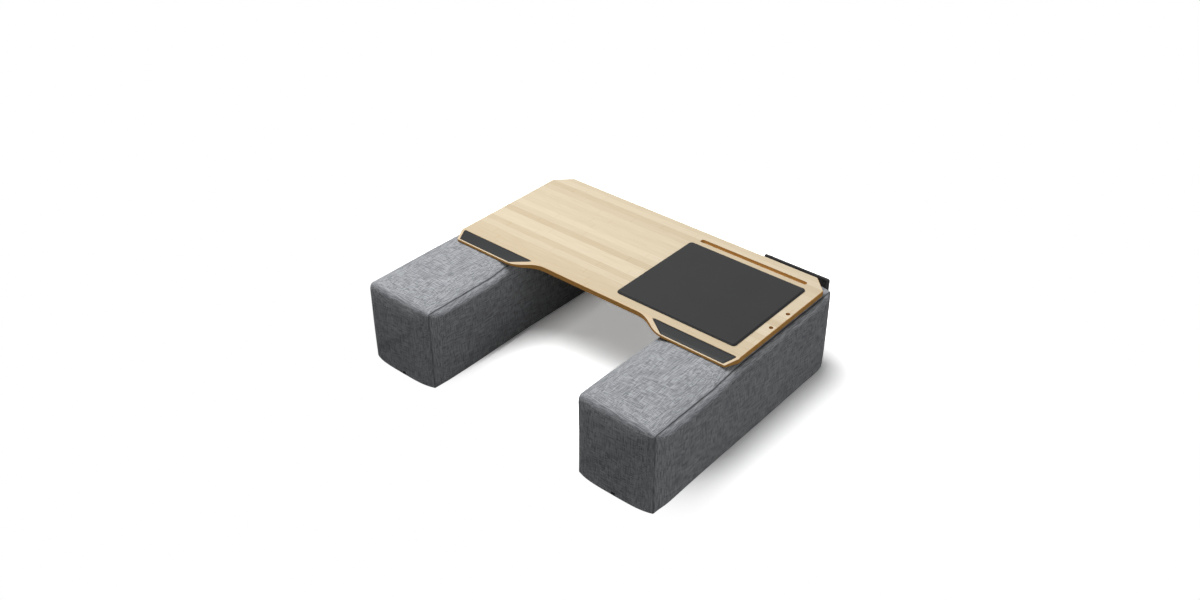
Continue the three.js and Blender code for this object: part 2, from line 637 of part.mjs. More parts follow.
// Non-slip strips under both ends of the board, where it lies on the cushions
function gripStrips() {
  const group = new THREE.Group();
  const level = -FIT_GAP - STRIP_THICKNESS;
  for (const [side, hand] of [['left', -1], ['right', 1]]) {
    for (const [place, margin] of Object.entries(STRIP_SIDE_MARGINS)) {
      const middle = hand * (BOARD_WIDTH / 2 - margin - STRIP_WIDTH / 2);
      const strip = plate(rectangle(middle - STRIP_WIDTH / 2, middle + STRIP_WIDTH / 2,
        STRIP_FRONT_MARGIN, STRIP_FRONT_MARGIN + STRIP_LENGTH, STRIP_RADIUS), STRIP_THICKNESS);
      group.add(piece(`${side}_${place}_grip_strip`, strip.translate(0, 0, level), gripRubber));
    }
  }
  return group;
}

function board() {
  const group = new THREE.Group();
  group.add(piece('board', boardPanel(), bamboo));
  group.add(wristRests(), mousePad(), gripStrips());
  group.position.set(BOARD_CENTRE, BOARD_FRONT, BOARD_BASE);
  return group;
}

// An upright panel drawn in (x, z), its thickness running back from a given face
function upright(shape, face, thickness) {
  return alongY(shape, face, face + thickness);
}

// Pocket, in the right-hand cushion's frame: a back panel, bound all round, held on the cushion's
// cover by hook-and-loop tape, and on it a pouch of a front panel and gussets, open at the top
function pocket() {
  const group = new THREE.Group();
  const right = CUSHION_WIDTH / 2 - POCKET_SIDE_INSET;
  const left = right - POCKET_WIDTH;
  const middle = (left + right) / 2;
  const bottom = POCKET_TOP - POCKET_HEIGHT;
  const mouth = POCKET_TOP - POCKET_MOUTH_DROP;
  const tapeTop = POCKET_TOP - TAPE_DROP;
  const wrap = BINDING_THICKNESS + FIT_GAP;

  const tape = rectangle(middle - TAPE_WIDTH / 2, middle + TAPE_WIDTH / 2,
    tapeTop - TAPE_HEIGHT, tapeTop);
  group.add(piece('pocket_loop_tape', upright(tape, LOOP_FACE, TAPE_THICKNESS), zipFabric));
  group.add(piece('pocket_hook_tape', upright(tape, HOOK_FACE, TAPE_THICKNESS), zipFabric));

  const panel = (grow) => rectangle(left + wrap - grow, right - wrap + grow,
    bottom + wrap - grow, POCKET_TOP - wrap + grow, POCKET_RADIUS - wrap + grow);
  const backPanel = upright(panel(0), BACK_PANEL_FACE, POCKET_BACK_PANEL);
  group.add(piece('pocket_back_panel', backPanel, pocketFabric));

  const bindingBack = POCKET_INSIDE + wrap;
  const lapped = rectangle(left + BINDING_LAP, right - BINDING_LAP, bottom + BINDING_LAP,
    POCKET_TOP - BINDING_LAP);
  const binding = solid(upright(panel(wrap), BINDING_FACE, bindingBack - BINDING_FACE))
    .subtract(solid(upright(panel(FIT_GAP), BACK_PANEL_FACE - FIT_GAP, POCKET_BACK_PANEL + 2 * FIT_GAP)))
    .subtract(solid(upright(lapped, BINDING_FACE - CUT_MARGIN, POCKET_DEPTH + 2 * CUT_MARGIN)));
  group.add(piece('pocket_back_binding', geometryOf(binding), zipFabric));

  const pouchLeft = left + POUCH_INSET;
  const pouchRight = right - POUCH_INSET;
  const pouchFloor = bottom + POUCH_INSET;
  const front = rectangle(pouchLeft, pouchRight, pouchFloor, mouth - wrap);
  group.add(piece('pocket_front_panel', upright(front, FRONT_PANEL_FACE, POCKET_PANEL), pocketFabric));

  const near = POCKET_INSIDE + FIT_GAP;
  const far = FRONT_PANEL_FACE - FIT_GAP;
  const floor = pouchFloor + POCKET_PANEL;
  group.add(piece('pocket_base_gusset',
    block([pouchLeft, near, pouchFloor], [pouchRight, far, floor]), pocketFabric));
  group.add(piece('pocket_left_gusset', block([pouchLeft, near, floor + FIT_GAP],
    [pouchLeft + POCKET_PANEL, far, mouth - wrap]), pocketFabric));
  group.add(piece('pocket_right_gusset', block([pouchRight - POCKET_PANEL, near, floor + FIT_GAP],
    [pouchRight, far, mouth - wrap]), pocketFabric));

  const lip = outline([
    [FRONT_PANEL_FACE - wrap, mouth - BINDING_LAP], [FRONT_PANEL_FACE - FIT_GAP, mouth - BINDING_LAP],
    [FRONT_PANEL_FACE - FIT_GAP, mouth - BINDING_THICKNESS],
    [POCKET_OUTSIDE - BINDING_THICKNESS, mouth - BINDING_THICKNESS],
    [POCKET_OUTSIDE - BINDING_THICKNESS, mouth - BINDING_LAP],
    [POCKET_OUTSIDE, mouth - BINDING_LAP], [POCKET_OUTSIDE, mouth],
    [FRONT_PANEL_FACE - wrap, mouth]], 0);
  const clear = POCKET_PANEL + FIT_GAP;
  group.add(piece('pocket_mouth_binding', alongX(lip, pouchLeft + clear, pouchRight - clear), zipFabric));
  return group;
}

function couchDesk() {
  const desk = new THREE.Group();
  const leftCushion = cushion('left');
  leftCushion.position.x = -CUSHION_OFFSET;
  const rightCushion = cushion('right');
  rightCushion.position.x = CUSHION_OFFSET;
  rightCushion.add(pocket());
  desk.add(leftCushion, rightCushion, board());
  desk.position.y = -POCKET_REACH / 2;
  return desk;
}

export default couchDesk();
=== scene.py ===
# %% [markdown]
# # A couch desk
# A bamboo board lies across two long foam cushions, so that someone on a sofa has a table over
# their legs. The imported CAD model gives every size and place. This lesson keeps the rigid pieces,
# gives them real finishes, and makes new surfaces for everything that is soft.

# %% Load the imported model
import math

import bpy
import numpy as np
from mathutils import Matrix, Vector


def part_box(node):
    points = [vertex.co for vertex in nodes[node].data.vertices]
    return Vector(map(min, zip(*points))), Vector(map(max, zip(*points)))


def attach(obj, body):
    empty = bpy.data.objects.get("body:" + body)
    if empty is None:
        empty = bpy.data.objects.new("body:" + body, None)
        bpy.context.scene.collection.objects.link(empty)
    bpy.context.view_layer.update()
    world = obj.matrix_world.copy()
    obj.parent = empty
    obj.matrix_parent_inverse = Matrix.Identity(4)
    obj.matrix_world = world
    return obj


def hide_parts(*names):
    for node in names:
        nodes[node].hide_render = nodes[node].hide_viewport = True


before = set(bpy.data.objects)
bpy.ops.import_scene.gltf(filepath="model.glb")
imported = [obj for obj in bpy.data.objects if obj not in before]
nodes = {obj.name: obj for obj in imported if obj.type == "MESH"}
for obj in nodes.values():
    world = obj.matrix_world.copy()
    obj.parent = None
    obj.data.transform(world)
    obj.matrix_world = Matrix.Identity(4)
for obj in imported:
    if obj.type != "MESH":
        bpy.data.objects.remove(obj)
scene = bpy.context.scene
scene.view_settings.view_transform = "Standard"
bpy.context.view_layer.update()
MM = 0.001  # sizes are in millimetres unless a comment says metres, and the scene is in metres
SIDES = {"left": -1, "right": 1}  # what comes in pairs, and the sign of its X

# %% [markdown]
# ## Camera
# A camera could be placed by eye. Here its angle, distance and lens were worked out once from the
# corners of the board and the cushions in the photograph, so that they fall where they do there.

# %% Camera
CAMERA_AZIMUTH = math.radians(40.14)  # from straight in front, round to the right
CAMERA_ELEVATION = math.radians(34.0)
CAMERA_DISTANCE = 2.616  # metres, as is the point that it looks at
CAMERA_AIM = np.array([-0.051, 0.049, 0.108])
LENS = 36.0
SENSOR = 36.0


def direction(azimuth, elevation):
    """The unit vector that points from the object to a place at that azimuth and elevation."""
    level = math.cos(elevation)
    return np.array([math.sin(azimuth) * level, -math.cos(azimuth) * level, math.sin(elevation)])


camera = bpy.data.objects.new("camera", bpy.data.cameras.new("camera"))
camera.data.lens = LENS
camera.data.sensor_width = SENSOR
camera.location = CAMERA_AIM + CAMERA_DISTANCE * direction(CAMERA_AZIMUTH, CAMERA_ELEVATION)
camera.rotation_euler = (math.pi / 2 - CAMERA_ELEVATION, 0, CAMERA_AZIMUTH)
scene.collection.objects.link(camera)
scene.camera = camera
print("camera at", [round(value, 3) for value in camera.location])

# %% [markdown]
# ## Colours and nodes
# Every finish below is a small tree of shader nodes. One function adds a node, with its settings
# and with what is plugged into it, and another turns a colour as painters write it, in sRGB, into
# the linear numbers that a renderer works with.

# %% Two helpers for materials


def colour(code):
    """An sRGB hex colour as linear red, green, blue and alpha: each channel to a power of 2.4, with
    a straight line for the darkest."""
    srgb = np.array([int(code[k:k + 2], 16) / 255 for k in (1, 3, 5)])
    linear = np.where(srgb <= 0.04045, srgb / 12.92, ((srgb + 0.055) / 1.055) ** 2.4)
    return (*linear.tolist(), 1.0)


def add_node(tree, kind, inputs=None, **settings):
    """One shader node. Each input is a value or another node's output, by socket name or number."""
    node = tree.nodes.new("ShaderNode" + kind)
    for name, value in settings.items():
        setattr(node, name, value)
    for socket, value in (inputs or {}).items():
        if isinstance(value, bpy.types.NodeSocket):
            tree.links.new(value, node.inputs[socket])
        else:
            node.inputs[socket].default_value = value
    return node


print("the grey #808080 in linear numbers:", round(colour("#808080")[0], 3))

# %% [markdown]
# ## Floor and light
# The object stands on a white sweep under one very large soft lamp, a little to the left, so that
# its shadows are soft and fall to the right. A weak second lamp opens the right-hand faces. What
# the camera sees of the floor is lifted to white, but the light that the floor throws back is kept
# low, as in a studio with a dark room around it, so the cushions' upright sides stay deep grey.
# That lift is partly painted light: a glow under the board, between the cushions, and plain white
# that clears the cushions' shadow towards the front.

# %% Backdrop
AMBIENT = 0.06  # brightness of the room as a light
WHITE = (1, 1, 1, 1)


def seen_rays(tree):
    """1 for rays that show a surface to the eye, straight, mirrored or through glass, else 0."""
    path = add_node(tree, "LightPath")
    mirrored = add_node(tree, "Math", {0: path.outputs["Is Glossy Ray"],
                                       1: path.outputs["Is Transmission Ray"]}, operation="MAXIMUM")
    return add_node(tree, "Math", {0: path.outputs["Is Camera Ray"], 1: mirrored.outputs[0]},
                    operation="MAXIMUM").outputs[0]


world = bpy.data.worlds.new("studio")
world.use_nodes = True
scene.world = world
tree = world.node_tree
strength = add_node(tree, "MapRange", {"Value": seen_rays(tree), "To Min": AMBIENT, "To Max": 1.0})
tree.nodes["Background"].inputs["Color"].default_value = WHITE
tree.links.new(strength.outputs[0], tree.nodes["Background"].inputs["Strength"])
print("backdrop:", world.name)

# %% Floor
FLOOR_SIZE = 40.0  # metres, as are the places and distances below
FLOOR_GLOW = (0.32, 0.03)  # painted light, a white glow in what the camera sees, between the cushions and outside
GLOW_EDGE = (0.13, 0.21)  # distances from the middle line where the one becomes the other
FLOOR_GAIN = 1.6  # how brightly the camera sees the light on the floor
FLOOR_FADE = (0.4, 0.64)  # distances between which the floor turns plain white, painted light where it clears shadow
FADE_CENTRE = (0.1, 0.3, 0.0)  # place on the floor that they are measured from
FADE_SHAPE = (0.6, 1.0, 1.0)  # less is further away along that axis
FLOOR_BOUNCE = 0.05  # brightness of the floor for the light that it throws back

floor_finish = bpy.data.materials.new("white_sweep")
floor_finish.use_nodes = True
tree = floor_finish.node_tree
tree.nodes.remove(tree.nodes["Principled BSDF"])
spot = add_node(tree, "TexCoord")
sideways = add_node(tree, "SeparateXYZ", {0: spot.outputs["Object"]})
aside = add_node(tree, "Math", {0: sideways.outputs[0]}, operation="ABSOLUTE")
level = add_node(tree, "MapRange", {
    "Value": aside.outputs[0], "From Min": GLOW_EDGE[0], "From Max": GLOW_EDGE[1],
    "To Min": FLOOR_GLOW[0], "To Max": FLOOR_GLOW[1]})
lit = add_node(tree, "BsdfDiffuse", {"Color": (FLOOR_GAIN, FLOOR_GAIN, FLOOR_GAIN, 1)})
glow = add_node(tree, "Emission", {"Color": WHITE, "Strength": level.outputs[0]})
near = add_node(tree, "AddShader", {0: lit.outputs[0], 1: glow.outputs[0]})
plain = add_node(tree, "Emission", {"Color": WHITE, "Strength": 1.0})
apart = add_node(tree, "VectorMath", {0: spot.outputs["Object"], 1: FADE_CENTRE},
                 operation="SUBTRACT")
shaped = add_node(tree, "VectorMath", {0: apart.outputs[0], 1: FADE_SHAPE}, operation="MULTIPLY")
away = add_node(tree, "VectorMath", {0: shaped.outputs[0]}, operation="LENGTH")
fade = add_node(tree, "MapRange", {"Value": away.outputs["Value"], "From Min": FLOOR_FADE[0],
                                   "From Max": FLOOR_FADE[1]}, interpolation_type="SMOOTHSTEP")
lifted = add_node(tree, "MixShader", {0: fade.outputs[0], 1: near.outputs[0], 2: plain.outputs[0]})
bounce = add_node(tree, "BsdfDiffuse", {"Color": (FLOOR_BOUNCE, FLOOR_BOUNCE, FLOOR_BOUNCE, 1)})
shown = add_node(tree, "MixShader", {0: seen_rays(tree), 1: bounce.outputs[0],
                                     2: lifted.outputs[0]})
tree.links.new(shown.outputs[0], tree.nodes["Material Output"].inputs["Surface"])

floor_corners = np.array([[-1, -1, 0], [1, -1, 0], [1, 1, 0], [-1, 1, 0]]) * FLOOR_SIZE / 2
floor_mesh = bpy.data.meshes.new("floor")
floor_mesh.from_pydata(floor_corners.tolist(), [], [[0, 1, 2, 3]])
floor_mesh.materials.append(floor_finish)
floor = bpy.data.objects.new("floor", floor_mesh)
scene.collection.objects.link(floor)
print("floor:", floor_finish.name, FLOOR_SIZE, "m wide")

# %% Lamps
# Each lamp: azimuth and elevation in degrees, distance and size in metres, power in watts
LAMPS = {"key": (-70, 76, 3.0, 2.2, 114), "right_fill": (75, 20, 3.0, 1.6, 20)}
for name, (azimuth, elevation, distance, size, power) in LAMPS.items():
    lamp = bpy.data.objects.new(name, bpy.data.lights.new(name, "AREA"))
    lamp.data.size = size
    lamp.data.energy = power
    lamp.location = distance * direction(math.radians(azimuth), math.radians(elevation))
    lamp.rotation_euler = (math.pi / 2 - math.radians(elevation), 0, math.radians(azimuth))
    scene.collection.objects.link(lamp)
print("lamps:", ", ".join(LAMPS))

# %% [markdown]
# ## Woven cover
# The cushions wear a heathered polyester weave that looks like linen. Its yarns are spun from
# light and dark fibres and vary in thickness, so short streaks run both ways across the cloth.
# An image could carry that, but it would stretch over the rounded edges. Here each of three noises
# is drawn out along one axis, and on every face only the two that lie in it are used, so that the
# streaks follow the threads on the top, the ends and the sides alike.

# %% Heathered weave
NOISE_STEP = (7.3, 3.1, 5.7)  # sets the three noises apart, so that they don't repeat each other
NOISE_RANGE = (0.3, 0.7)  # most values of a noise lie between these
PATCHES, PATCH_TONE = 9.0, 0.06  # broad patches in a metre, and how much their tone differs
YARN_RELIEF = 1.2  # height of the yarns in the bump


def new_finish(name, **sockets):
    """A material with its node tree and its main shader, whose sockets have the given values."""
    material = bpy.data.materials.new(name)
    material.use_nodes = True
    shader = material.node_tree.nodes["Principled BSDF"]
    for socket, value in sockets.items():
        shader.inputs[socket.replace("_", " ")].default_value = value
    return material, material.node_tree, shader


def woven(name, dark, light, seam_shade_colour, slub=(18, 1.0), contrast=3.6, relief=0.6):
    """Plain weave of uneven yarn. Matt, with a faint sheen from loose fibres. slub is the length
    and width of a streak in mm: real yarn is finer, and is drawn wider here so that it shows."""
    material, tree, shader = new_finish(name, Roughness=0.92, Specular_IOR_Level=0.1,
                                        Sheen_Weight=0.05, Sheen_Roughness=0.6)
    place = add_node(tree, "TexCoord")
    facing = add_node(tree, "SeparateXYZ", {0: place.outputs["Normal"]})
    total = 0.5
    for axis in range(3):
        size = [slub[1]] * 3
        size[axis] = slub[0]
        stretched = add_node(tree, "Mapping", {
            "Vector": place.outputs["Object"], "Scale": [1 / (s * MM) for s in size],
            "Location": [step * axis for step in NOISE_STEP]})
        streak = add_node(tree, "TexNoise", {"Vector": stretched.outputs[0], "Scale": 1.0,
                                             "Detail": 0.0})
        centred = add_node(tree, "Math", {0: streak.outputs["Fac"], 1: 0.5}, operation="SUBTRACT")
        across = add_node(tree, "Math", {0: facing.outputs[axis]}, operation="ABSOLUTE")
        lying = add_node(tree, "Math", {0: 1.0, 1: across.outputs[0]}, operation="SUBTRACT")
        total = add_node(tree, "Math", {0: centred.outputs[0], 1: lying.outputs[0], 2: total},
                         operation="MULTIPLY_ADD").outputs[0]
    broad = add_node(tree, "TexNoise", {"Vector": place.outputs["Object"], "Scale": PATCHES,
                                        "Detail": 2.0})
    toned = add_node(tree, "MapRange", {
        "Value": broad.outputs["Fac"], "From Min": NOISE_RANGE[0], "From Max": NOISE_RANGE[1],
        "To Min": -PATCH_TONE, "To Max": PATCH_TONE})
    mixed = add_node(tree, "MapRange", {
        "Value": total, "From Min": 0.5 - 0.5 / contrast, "From Max": 0.5 + 0.5 / contrast,
        "To Min": 0.0, "To Max": 1.0})
    share = add_node(tree, "Math", {0: mixed.outputs[0], 1: toned.outputs[0]}, operation="ADD")
    cloth = add_node(tree, "Mix", {0: share.outputs[0], 6: colour(dark), 7: colour(light)},
                     data_type="RGBA")
    # Along a seam the cloth turns towards the seam colour: painted shade for the seam's valley
    painted_seam_shade = add_node(tree, "Attribute", attribute_name="painted_seam_shade")
    sewn = add_node(tree, "Mix", {0: painted_seam_shade.outputs["Fac"], 6: cloth.outputs[2],
                                  7: colour(seam_shade_colour)}, data_type="RGBA")
    tree.links.new(sewn.outputs[2], shader.inputs["Base Color"])
    bump = add_node(tree, "Bump", {"Height": total, "Strength": relief,
                                   "Distance": YARN_RELIEF * MM})
    tree.links.new(bump.outputs[0], shader.inputs["Normal"])
    return material


cover_weave = woven("heathered_polyester_weave", "#787a7d", "#a7a9ad", "#2c2d2f")
print("finish:", cover_weave.name)

# %% [markdown]
# ## Cushions
# Each cushion is a foam block in a sewn cover: a strip over the front, the top and the back, and
# two side panels. A block with bevelled edges would look like plastic. Here the cover starts as a
# sewn box a little flatter than the real one, its seams are pinned, and a cloth simulation with
# air pressure inside lets the panels swell between the seams. Both cushions are sewn from one
# pattern, so one simulation serves for both.

# %% The lattice that the cover is laid on
CUSHION_OFFSET = 290.0  # from the middle of the desk to the middle of a cushion
CUSHION_MIDDLE = -11.69  # their middle lies in front of the origin, because of the pocket behind
CUSHION_HEIGHT = 202.0
SEAM_HALF, END_HALF, FORM_TOP = 90.0, 295.3, 187.0  # the plain box: half width, half length, height
RINGS = np.array([0, 0.9, 2.2, 4.5, 8, 11, 14, 18])  # lattice lines beside its edges
ZIP_GROOVE = (22.0, 7.0, 286.0)  # width, depth and half length of the groove underneath
GROOVE_WALL = 2.4  # run of the groove's sloping walls


def ringed(low, high, between):
    """Places of lattice lines from low to high: close rings beside both, and given ones between."""
    return np.concatenate([low + RINGS, between, (high - RINGS)[::-1]])


def box_shell(x, y, z):
    """The outside of a box lattice: all points of the grid x by y by z that lie on its six faces,
    once each, and the quads between them, turned outwards."""
    ids = np.arange(len(x) * len(y) * len(z)).reshape(len(x), len(y), len(z))

    def quads(grid):
        corners = [grid[:-1, :-1], grid[1:, :-1], grid[1:, 1:], grid[:-1, 1:]]
        return np.stack(corners, -1).reshape(-1, 4)

    faces = np.concatenate([
        quads(ids[:, :, -1]), quads(ids[:, :, 0])[:, ::-1], quads(ids[-1]), quads(ids[0])[:, ::-1],
        quads(ids[:, 0]), quads(ids[:, -1])[:, ::-1]])
    used, faces = np.unique(faces, return_inverse=True)
    i, j, k = np.unravel_index(used, ids.shape)
    return np.stack([x[i], y[j], z[k]], -1), faces.reshape(-1, 4)


groove_half = ZIP_GROOVE[0] / 2
beside = np.linspace(groove_half + 3, 65, 6)  # lines about every 10 mm, and 9 mm along and up
half_width = np.concatenate([[groove_half - GROOVE_WALL, groove_half], beside])
lattice, cover_faces = box_shell(
    ringed(-SEAM_HALF, SEAM_HALF, np.concatenate([-half_width[::-1], [0], half_width])),
    ringed(-END_HALF, END_HALF, np.linspace(-270, 270, 61)),
    ringed(0, FORM_TOP, np.linspace(26, 161, 17)))
print("cover lattice:", len(lattice), "points")

# %% The cover's form
TOP_BEND = 14.0  # size of the strip's bend into an end
SEAM_BEND = (11.0, 5.0)  # the same at its left and right edge
BEND_SHAPE = (0.7, 1.4)  # share of it along the top and down the end
EDGE_ARCH, ARCH_RUN = 9.0, 36.0  # rise of the strip from a seam, and its run
TOP_CROWN, CROWN_RUN = 5.4, 230.0  # further rise of the top to its middle, and its run from an end
SEAM_LIFT = 9.0  # under the board the right seam rides higher than in front of it
LIFT_FROM, LIFT_RUN = -115.0, 110.0  # where that starts along a cushion, and its run
FRONT_BULGE, BACK_BULGE = 10.0, 6.5  # the pocket presses on the back
BULGE_AT_TOP = 0.5  # share of an end's bulge that is left at the top
BULGE_POWER = 4  # a high one keeps the bulge full until close to the side
SIDE_PUFF = (5.0, 10.7)  # how far the left and right side panel stand out
PUFF_REACH, PUFF_REACH_END = 16.0, 40.0  # from its top and base, and from its ends
PADDED = 2.2  # power of the rise from a padded edge
TINY = 1e-9  # stands in for nought in a division


def eased(distance, reach, power=2):
    """A rise from 0 at an edge to 1 at its reach: one less a power of the share left to go."""
    return 1 - np.maximum(1 - distance / reach, 0) ** power


def cushion_form(points, swell):
    """The box of the lattice as a sewn cover, in mm. The strip rises from its edges and is bent
    round from the top into the ends, and its right edge is lifted where the board lies. A side
    panel stands out from its own edges. swell is a share of the bulges."""
    x, y, z = points.T
    across, along = np.abs(x) / SEAM_HALF, np.abs(y) / END_HALF
    off_side, off_end = SEAM_HALF - np.abs(x), END_HALF - np.abs(y)
    ring = np.where(across == 1, np.minimum(np.minimum(off_end, z), FORM_TOP - z), 0)
    rise = eased(off_side, ARCH_RUN, PADDED)
    full = 0.5 + 0.5 * swell
    lift = SEAM_LIFT * eased(np.maximum(y - LIFT_FROM, 0), LIFT_RUN) * (1 + x / SEAM_HALF) / 2
    taller = 1 + (full * EDGE_ARCH * rise + lift) / FORM_TOP
    least = np.where(x < 0, *SEAM_BEND)
    bend = np.maximum(least + (TOP_BEND - least) * rise - ring, 0)[:, None] * BEND_SHAPE
    corner = np.stack([END_HALF - ring, (FORM_TOP - ring) * taller], -1) - bend
    at = np.stack([np.abs(y), z * taller], -1)
    past = (at - corner) / np.maximum(bend, TINY)
    bent = (past > 0).all(axis=1, keepdims=True) & (bend > 0)
    reach = np.maximum(np.linalg.norm(past, axis=1, keepdims=True), TINY)
    out = np.where(bent, past / reach, np.stack([along == 1, z == FORM_TOP], -1))
    at = np.where(bent, corner + out * bend, at)
    share = 1 - (1 - BULGE_AT_TOP) * at[:, 1] / CUSHION_HEIGHT
    bulge = np.where(y < 0, FRONT_BULGE, BACK_BULGE)
    at[:, 0] += swell * out[:, 0] * bulge * (1 - across ** BULGE_POWER) * share
    crown = TOP_CROWN * eased(off_side, SEAM_HALF) * eased(off_end, CROWN_RUN)
    at[:, 1] += full * out[:, 1] * crown
    puff = eased(z, PUFF_REACH, PADDED) * eased(FORM_TOP - z, PUFF_REACH, PADDED)
    puff = puff * eased(off_end, PUFF_REACH_END, PADDED)
    wide = np.abs(x) + np.where(across == 1, full * puff * np.where(x < 0, *SIDE_PUFF), 0)
    return np.stack([np.sign(x) * wide, np.sign(y) * at[:, 0], at[:, 1]], -1)


foam_form = cushion_form(lattice, 1.0)
print("foam form in mm:", np.round(np.ptp(foam_form, axis=0)))

# %% Where the seams run
LEFT_SEAM = 11.0  # the left seam lies round the edge, this far down the left panel
FAR = 100.0  # stands for no seam, as on the underside
on_side = np.abs(lattice[:, 0]) == SEAM_HALF
off_end, off_top = END_HALF - np.abs(lattice[:, 1]), FORM_TOP - lattice[:, 2]
off_seam = np.where(on_side, -np.minimum(off_end, off_top), SEAM_HALF - np.abs(lattice[:, 0]))
seam_distance = np.abs(off_seam + np.where(lattice[:, 0] < 0, LEFT_SEAM, 0))
seam_distance = np.where(lattice[:, 2] > 0, seam_distance, FAR)
print("points on a seam:", int((seam_distance == 0).sum()))

# %% [markdown]
# The simulation runs on a copy with nothing else in it. Gravity is off, because the foam carries
# the cover. The seams and the underside are pinned. Afterwards the cloth lies on the foam wherever
# it would sink into it, and stands off it by a little over a millimetre at most. The top is pressed
# flat at the height of the board.

# %% Let the cover swell
START_SWELL = 0.35  # share of the bulges before the simulation
PRESSURE = 4.0
SIMULATED_FRAMES = 20
MOST_LIFT = 1.5  # of the cloth above the foam
LIFT_ROUNDING = 0.3  # square mm, rounds the change from lying on the foam to standing off it


def swollen(points, faces, pinned):
    """The cover after some frames of cloth simulation under air pressure, in mm."""
    mesh = bpy.data.meshes.new("cover_trial")
    mesh.from_pydata((points * MM).tolist(), [], faces.tolist())
    trial = bpy.data.objects.new("cover_trial", mesh)
    scene.collection.objects.link(trial)
    held = trial.vertex_groups.new(name="held")
    held.add(np.flatnonzero(pinned).tolist(), 1.0, "REPLACE")
    cloth = trial.modifiers.new("cloth", "CLOTH")
    cloth.settings.vertex_group_mass = "held"
    cloth.settings.use_pressure = True
    cloth.settings.uniform_pressure_force = PRESSURE
    cloth.settings.effector_weights.gravity = 0
    for number in range(1, SIMULATED_FRAMES + 1):
        scene.frame_set(number)
    result = trial.evaluated_get(bpy.context.evaluated_depsgraph_get()).data
    moved = np.empty(len(points) * 3)
    result.vertices.foreach_get("co", moved)
    scene.frame_set(1)
    bpy.data.objects.remove(trial)
    bpy.data.meshes.remove(mesh)
    return moved.reshape(-1, 3) / MM


def outward(points, faces):
    """The way that each point faces: the sum of its faces' normals, made one long."""
    corners = points[faces]
    normals = np.cross(corners[:, 2] - corners[:, 0], corners[:, 3] - corners[:, 1])
    total = np.zeros_like(points)
    np.add.at(total, faces, normals[:, None])
    return total / np.linalg.norm(total, axis=1, keepdims=True)


foam_normal = outward(foam_form, cover_faces)
blown = foam_form
pinned = (seam_distance == 0) | (lattice[:, 2] == 0)
blown = swollen(cushion_form(lattice, START_SWELL), cover_faces, pinned)
lift = ((blown - foam_form) * foam_normal).sum(axis=1)
stand_off = np.clip((lift + np.sqrt(lift ** 2 + LIFT_ROUNDING)) / 2, 0, MOST_LIFT)
cover_form = foam_form + foam_normal * stand_off[:, None]
print("cloth above the foam in mm, least, mean and most:",
      [round(float(value), 2) for value in (lift.min(), lift.mean(), lift.max())])

# %% Seams, groove and small dents
SEAM_DEPTH, SEAM_WIDTH = 0.9, 1.0
SEAM_RUN = 0.7  # share of a point's height in its place along a seam
LIP = (0.15, 3.5, 2.0)  # height of the lip beside a seam, its distance and its width
GATHER, GATHER_REACH = 0.15, 9.0  # height of the gathers, and how far they reach from a seam
GATHER_WAVES = (9.0, 31.0)  # their lengths, which like those of the dents are over two pi
TOP_DENT, TOP_WAVES = 0.6, (37, 83)  # depth of the dents in the top, and lengths along X and Y
SIDE_DENT, SIDE_WAVES = 0.5, (41, 57)  # the same in the sides, along Z and Y


def cushion_cover(points, phase):
    """The finished cover: a seam is a narrow valley with a low lip on each side, gathered a little
    in slow waves along its length. Broad dents differ from cushion to cushion by a phase."""
    valley = -SEAM_DEPTH * np.exp(-(seam_distance / SEAM_WIDTH) ** 2)
    lip = LIP[0] * np.exp(-((seam_distance - LIP[1]) / LIP[2]) ** 2)
    x, y, z = points.T
    run = y + z * SEAM_RUN
    gather = GATHER * np.sin(run / GATHER_WAVES[0] + phase) * np.sin(run / GATHER_WAVES[1])
    gather = gather * np.exp(-seam_distance / GATHER_REACH)
    dent = TOP_DENT * np.sin(x / TOP_WAVES[0] + phase) * np.sin(y / TOP_WAVES[1] + 2 * phase)
    dent = dent + SIDE_DENT * np.sin(z / SIDE_WAVES[0] + y / SIDE_WAVES[1] + phase)
    form = points + outward(points, cover_faces) * (valley + lip + gather + dent)[:, None]
    width, depth, end = ZIP_GROOVE
    rise = depth * np.clip((width / 2 - np.abs(lattice[:, 0])) / GROOVE_WALL, 0, 1)
    rise = rise * (np.abs(points[:, 1]) < end)
    form[:, 2] = np.where(lattice[:, 2] == 0, rise, np.clip(form[:, 2], 0, CUSHION_HEIGHT))
    return form


def make_piece(name, points, faces, material, body, slot):
    """A smooth mesh from whole arrays in mm, finished in a material, that rides on a CAD body."""
    mesh = bpy.data.meshes.new(name)
    mesh.from_pydata((np.asarray(points) * MM).tolist(), [],
                     [list(map(int, face)) for face in faces])
    mesh.shade_smooth()
    mesh.materials.append(material)
    piece = bpy.data.objects.new(name, mesh)
    scene.collection.objects.link(piece)
    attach(piece, body)
    print(f"{name}: {len(mesh.vertices)} points, {len(mesh.polygons)} faces")
    return piece


def subdivide(piece):
    """One level of subdivision surface, the same in the view and in the render."""
    subdivision = piece.modifiers.new("smooth", "SUBSURF")
    subdivision.levels = subdivision.render_levels = 1


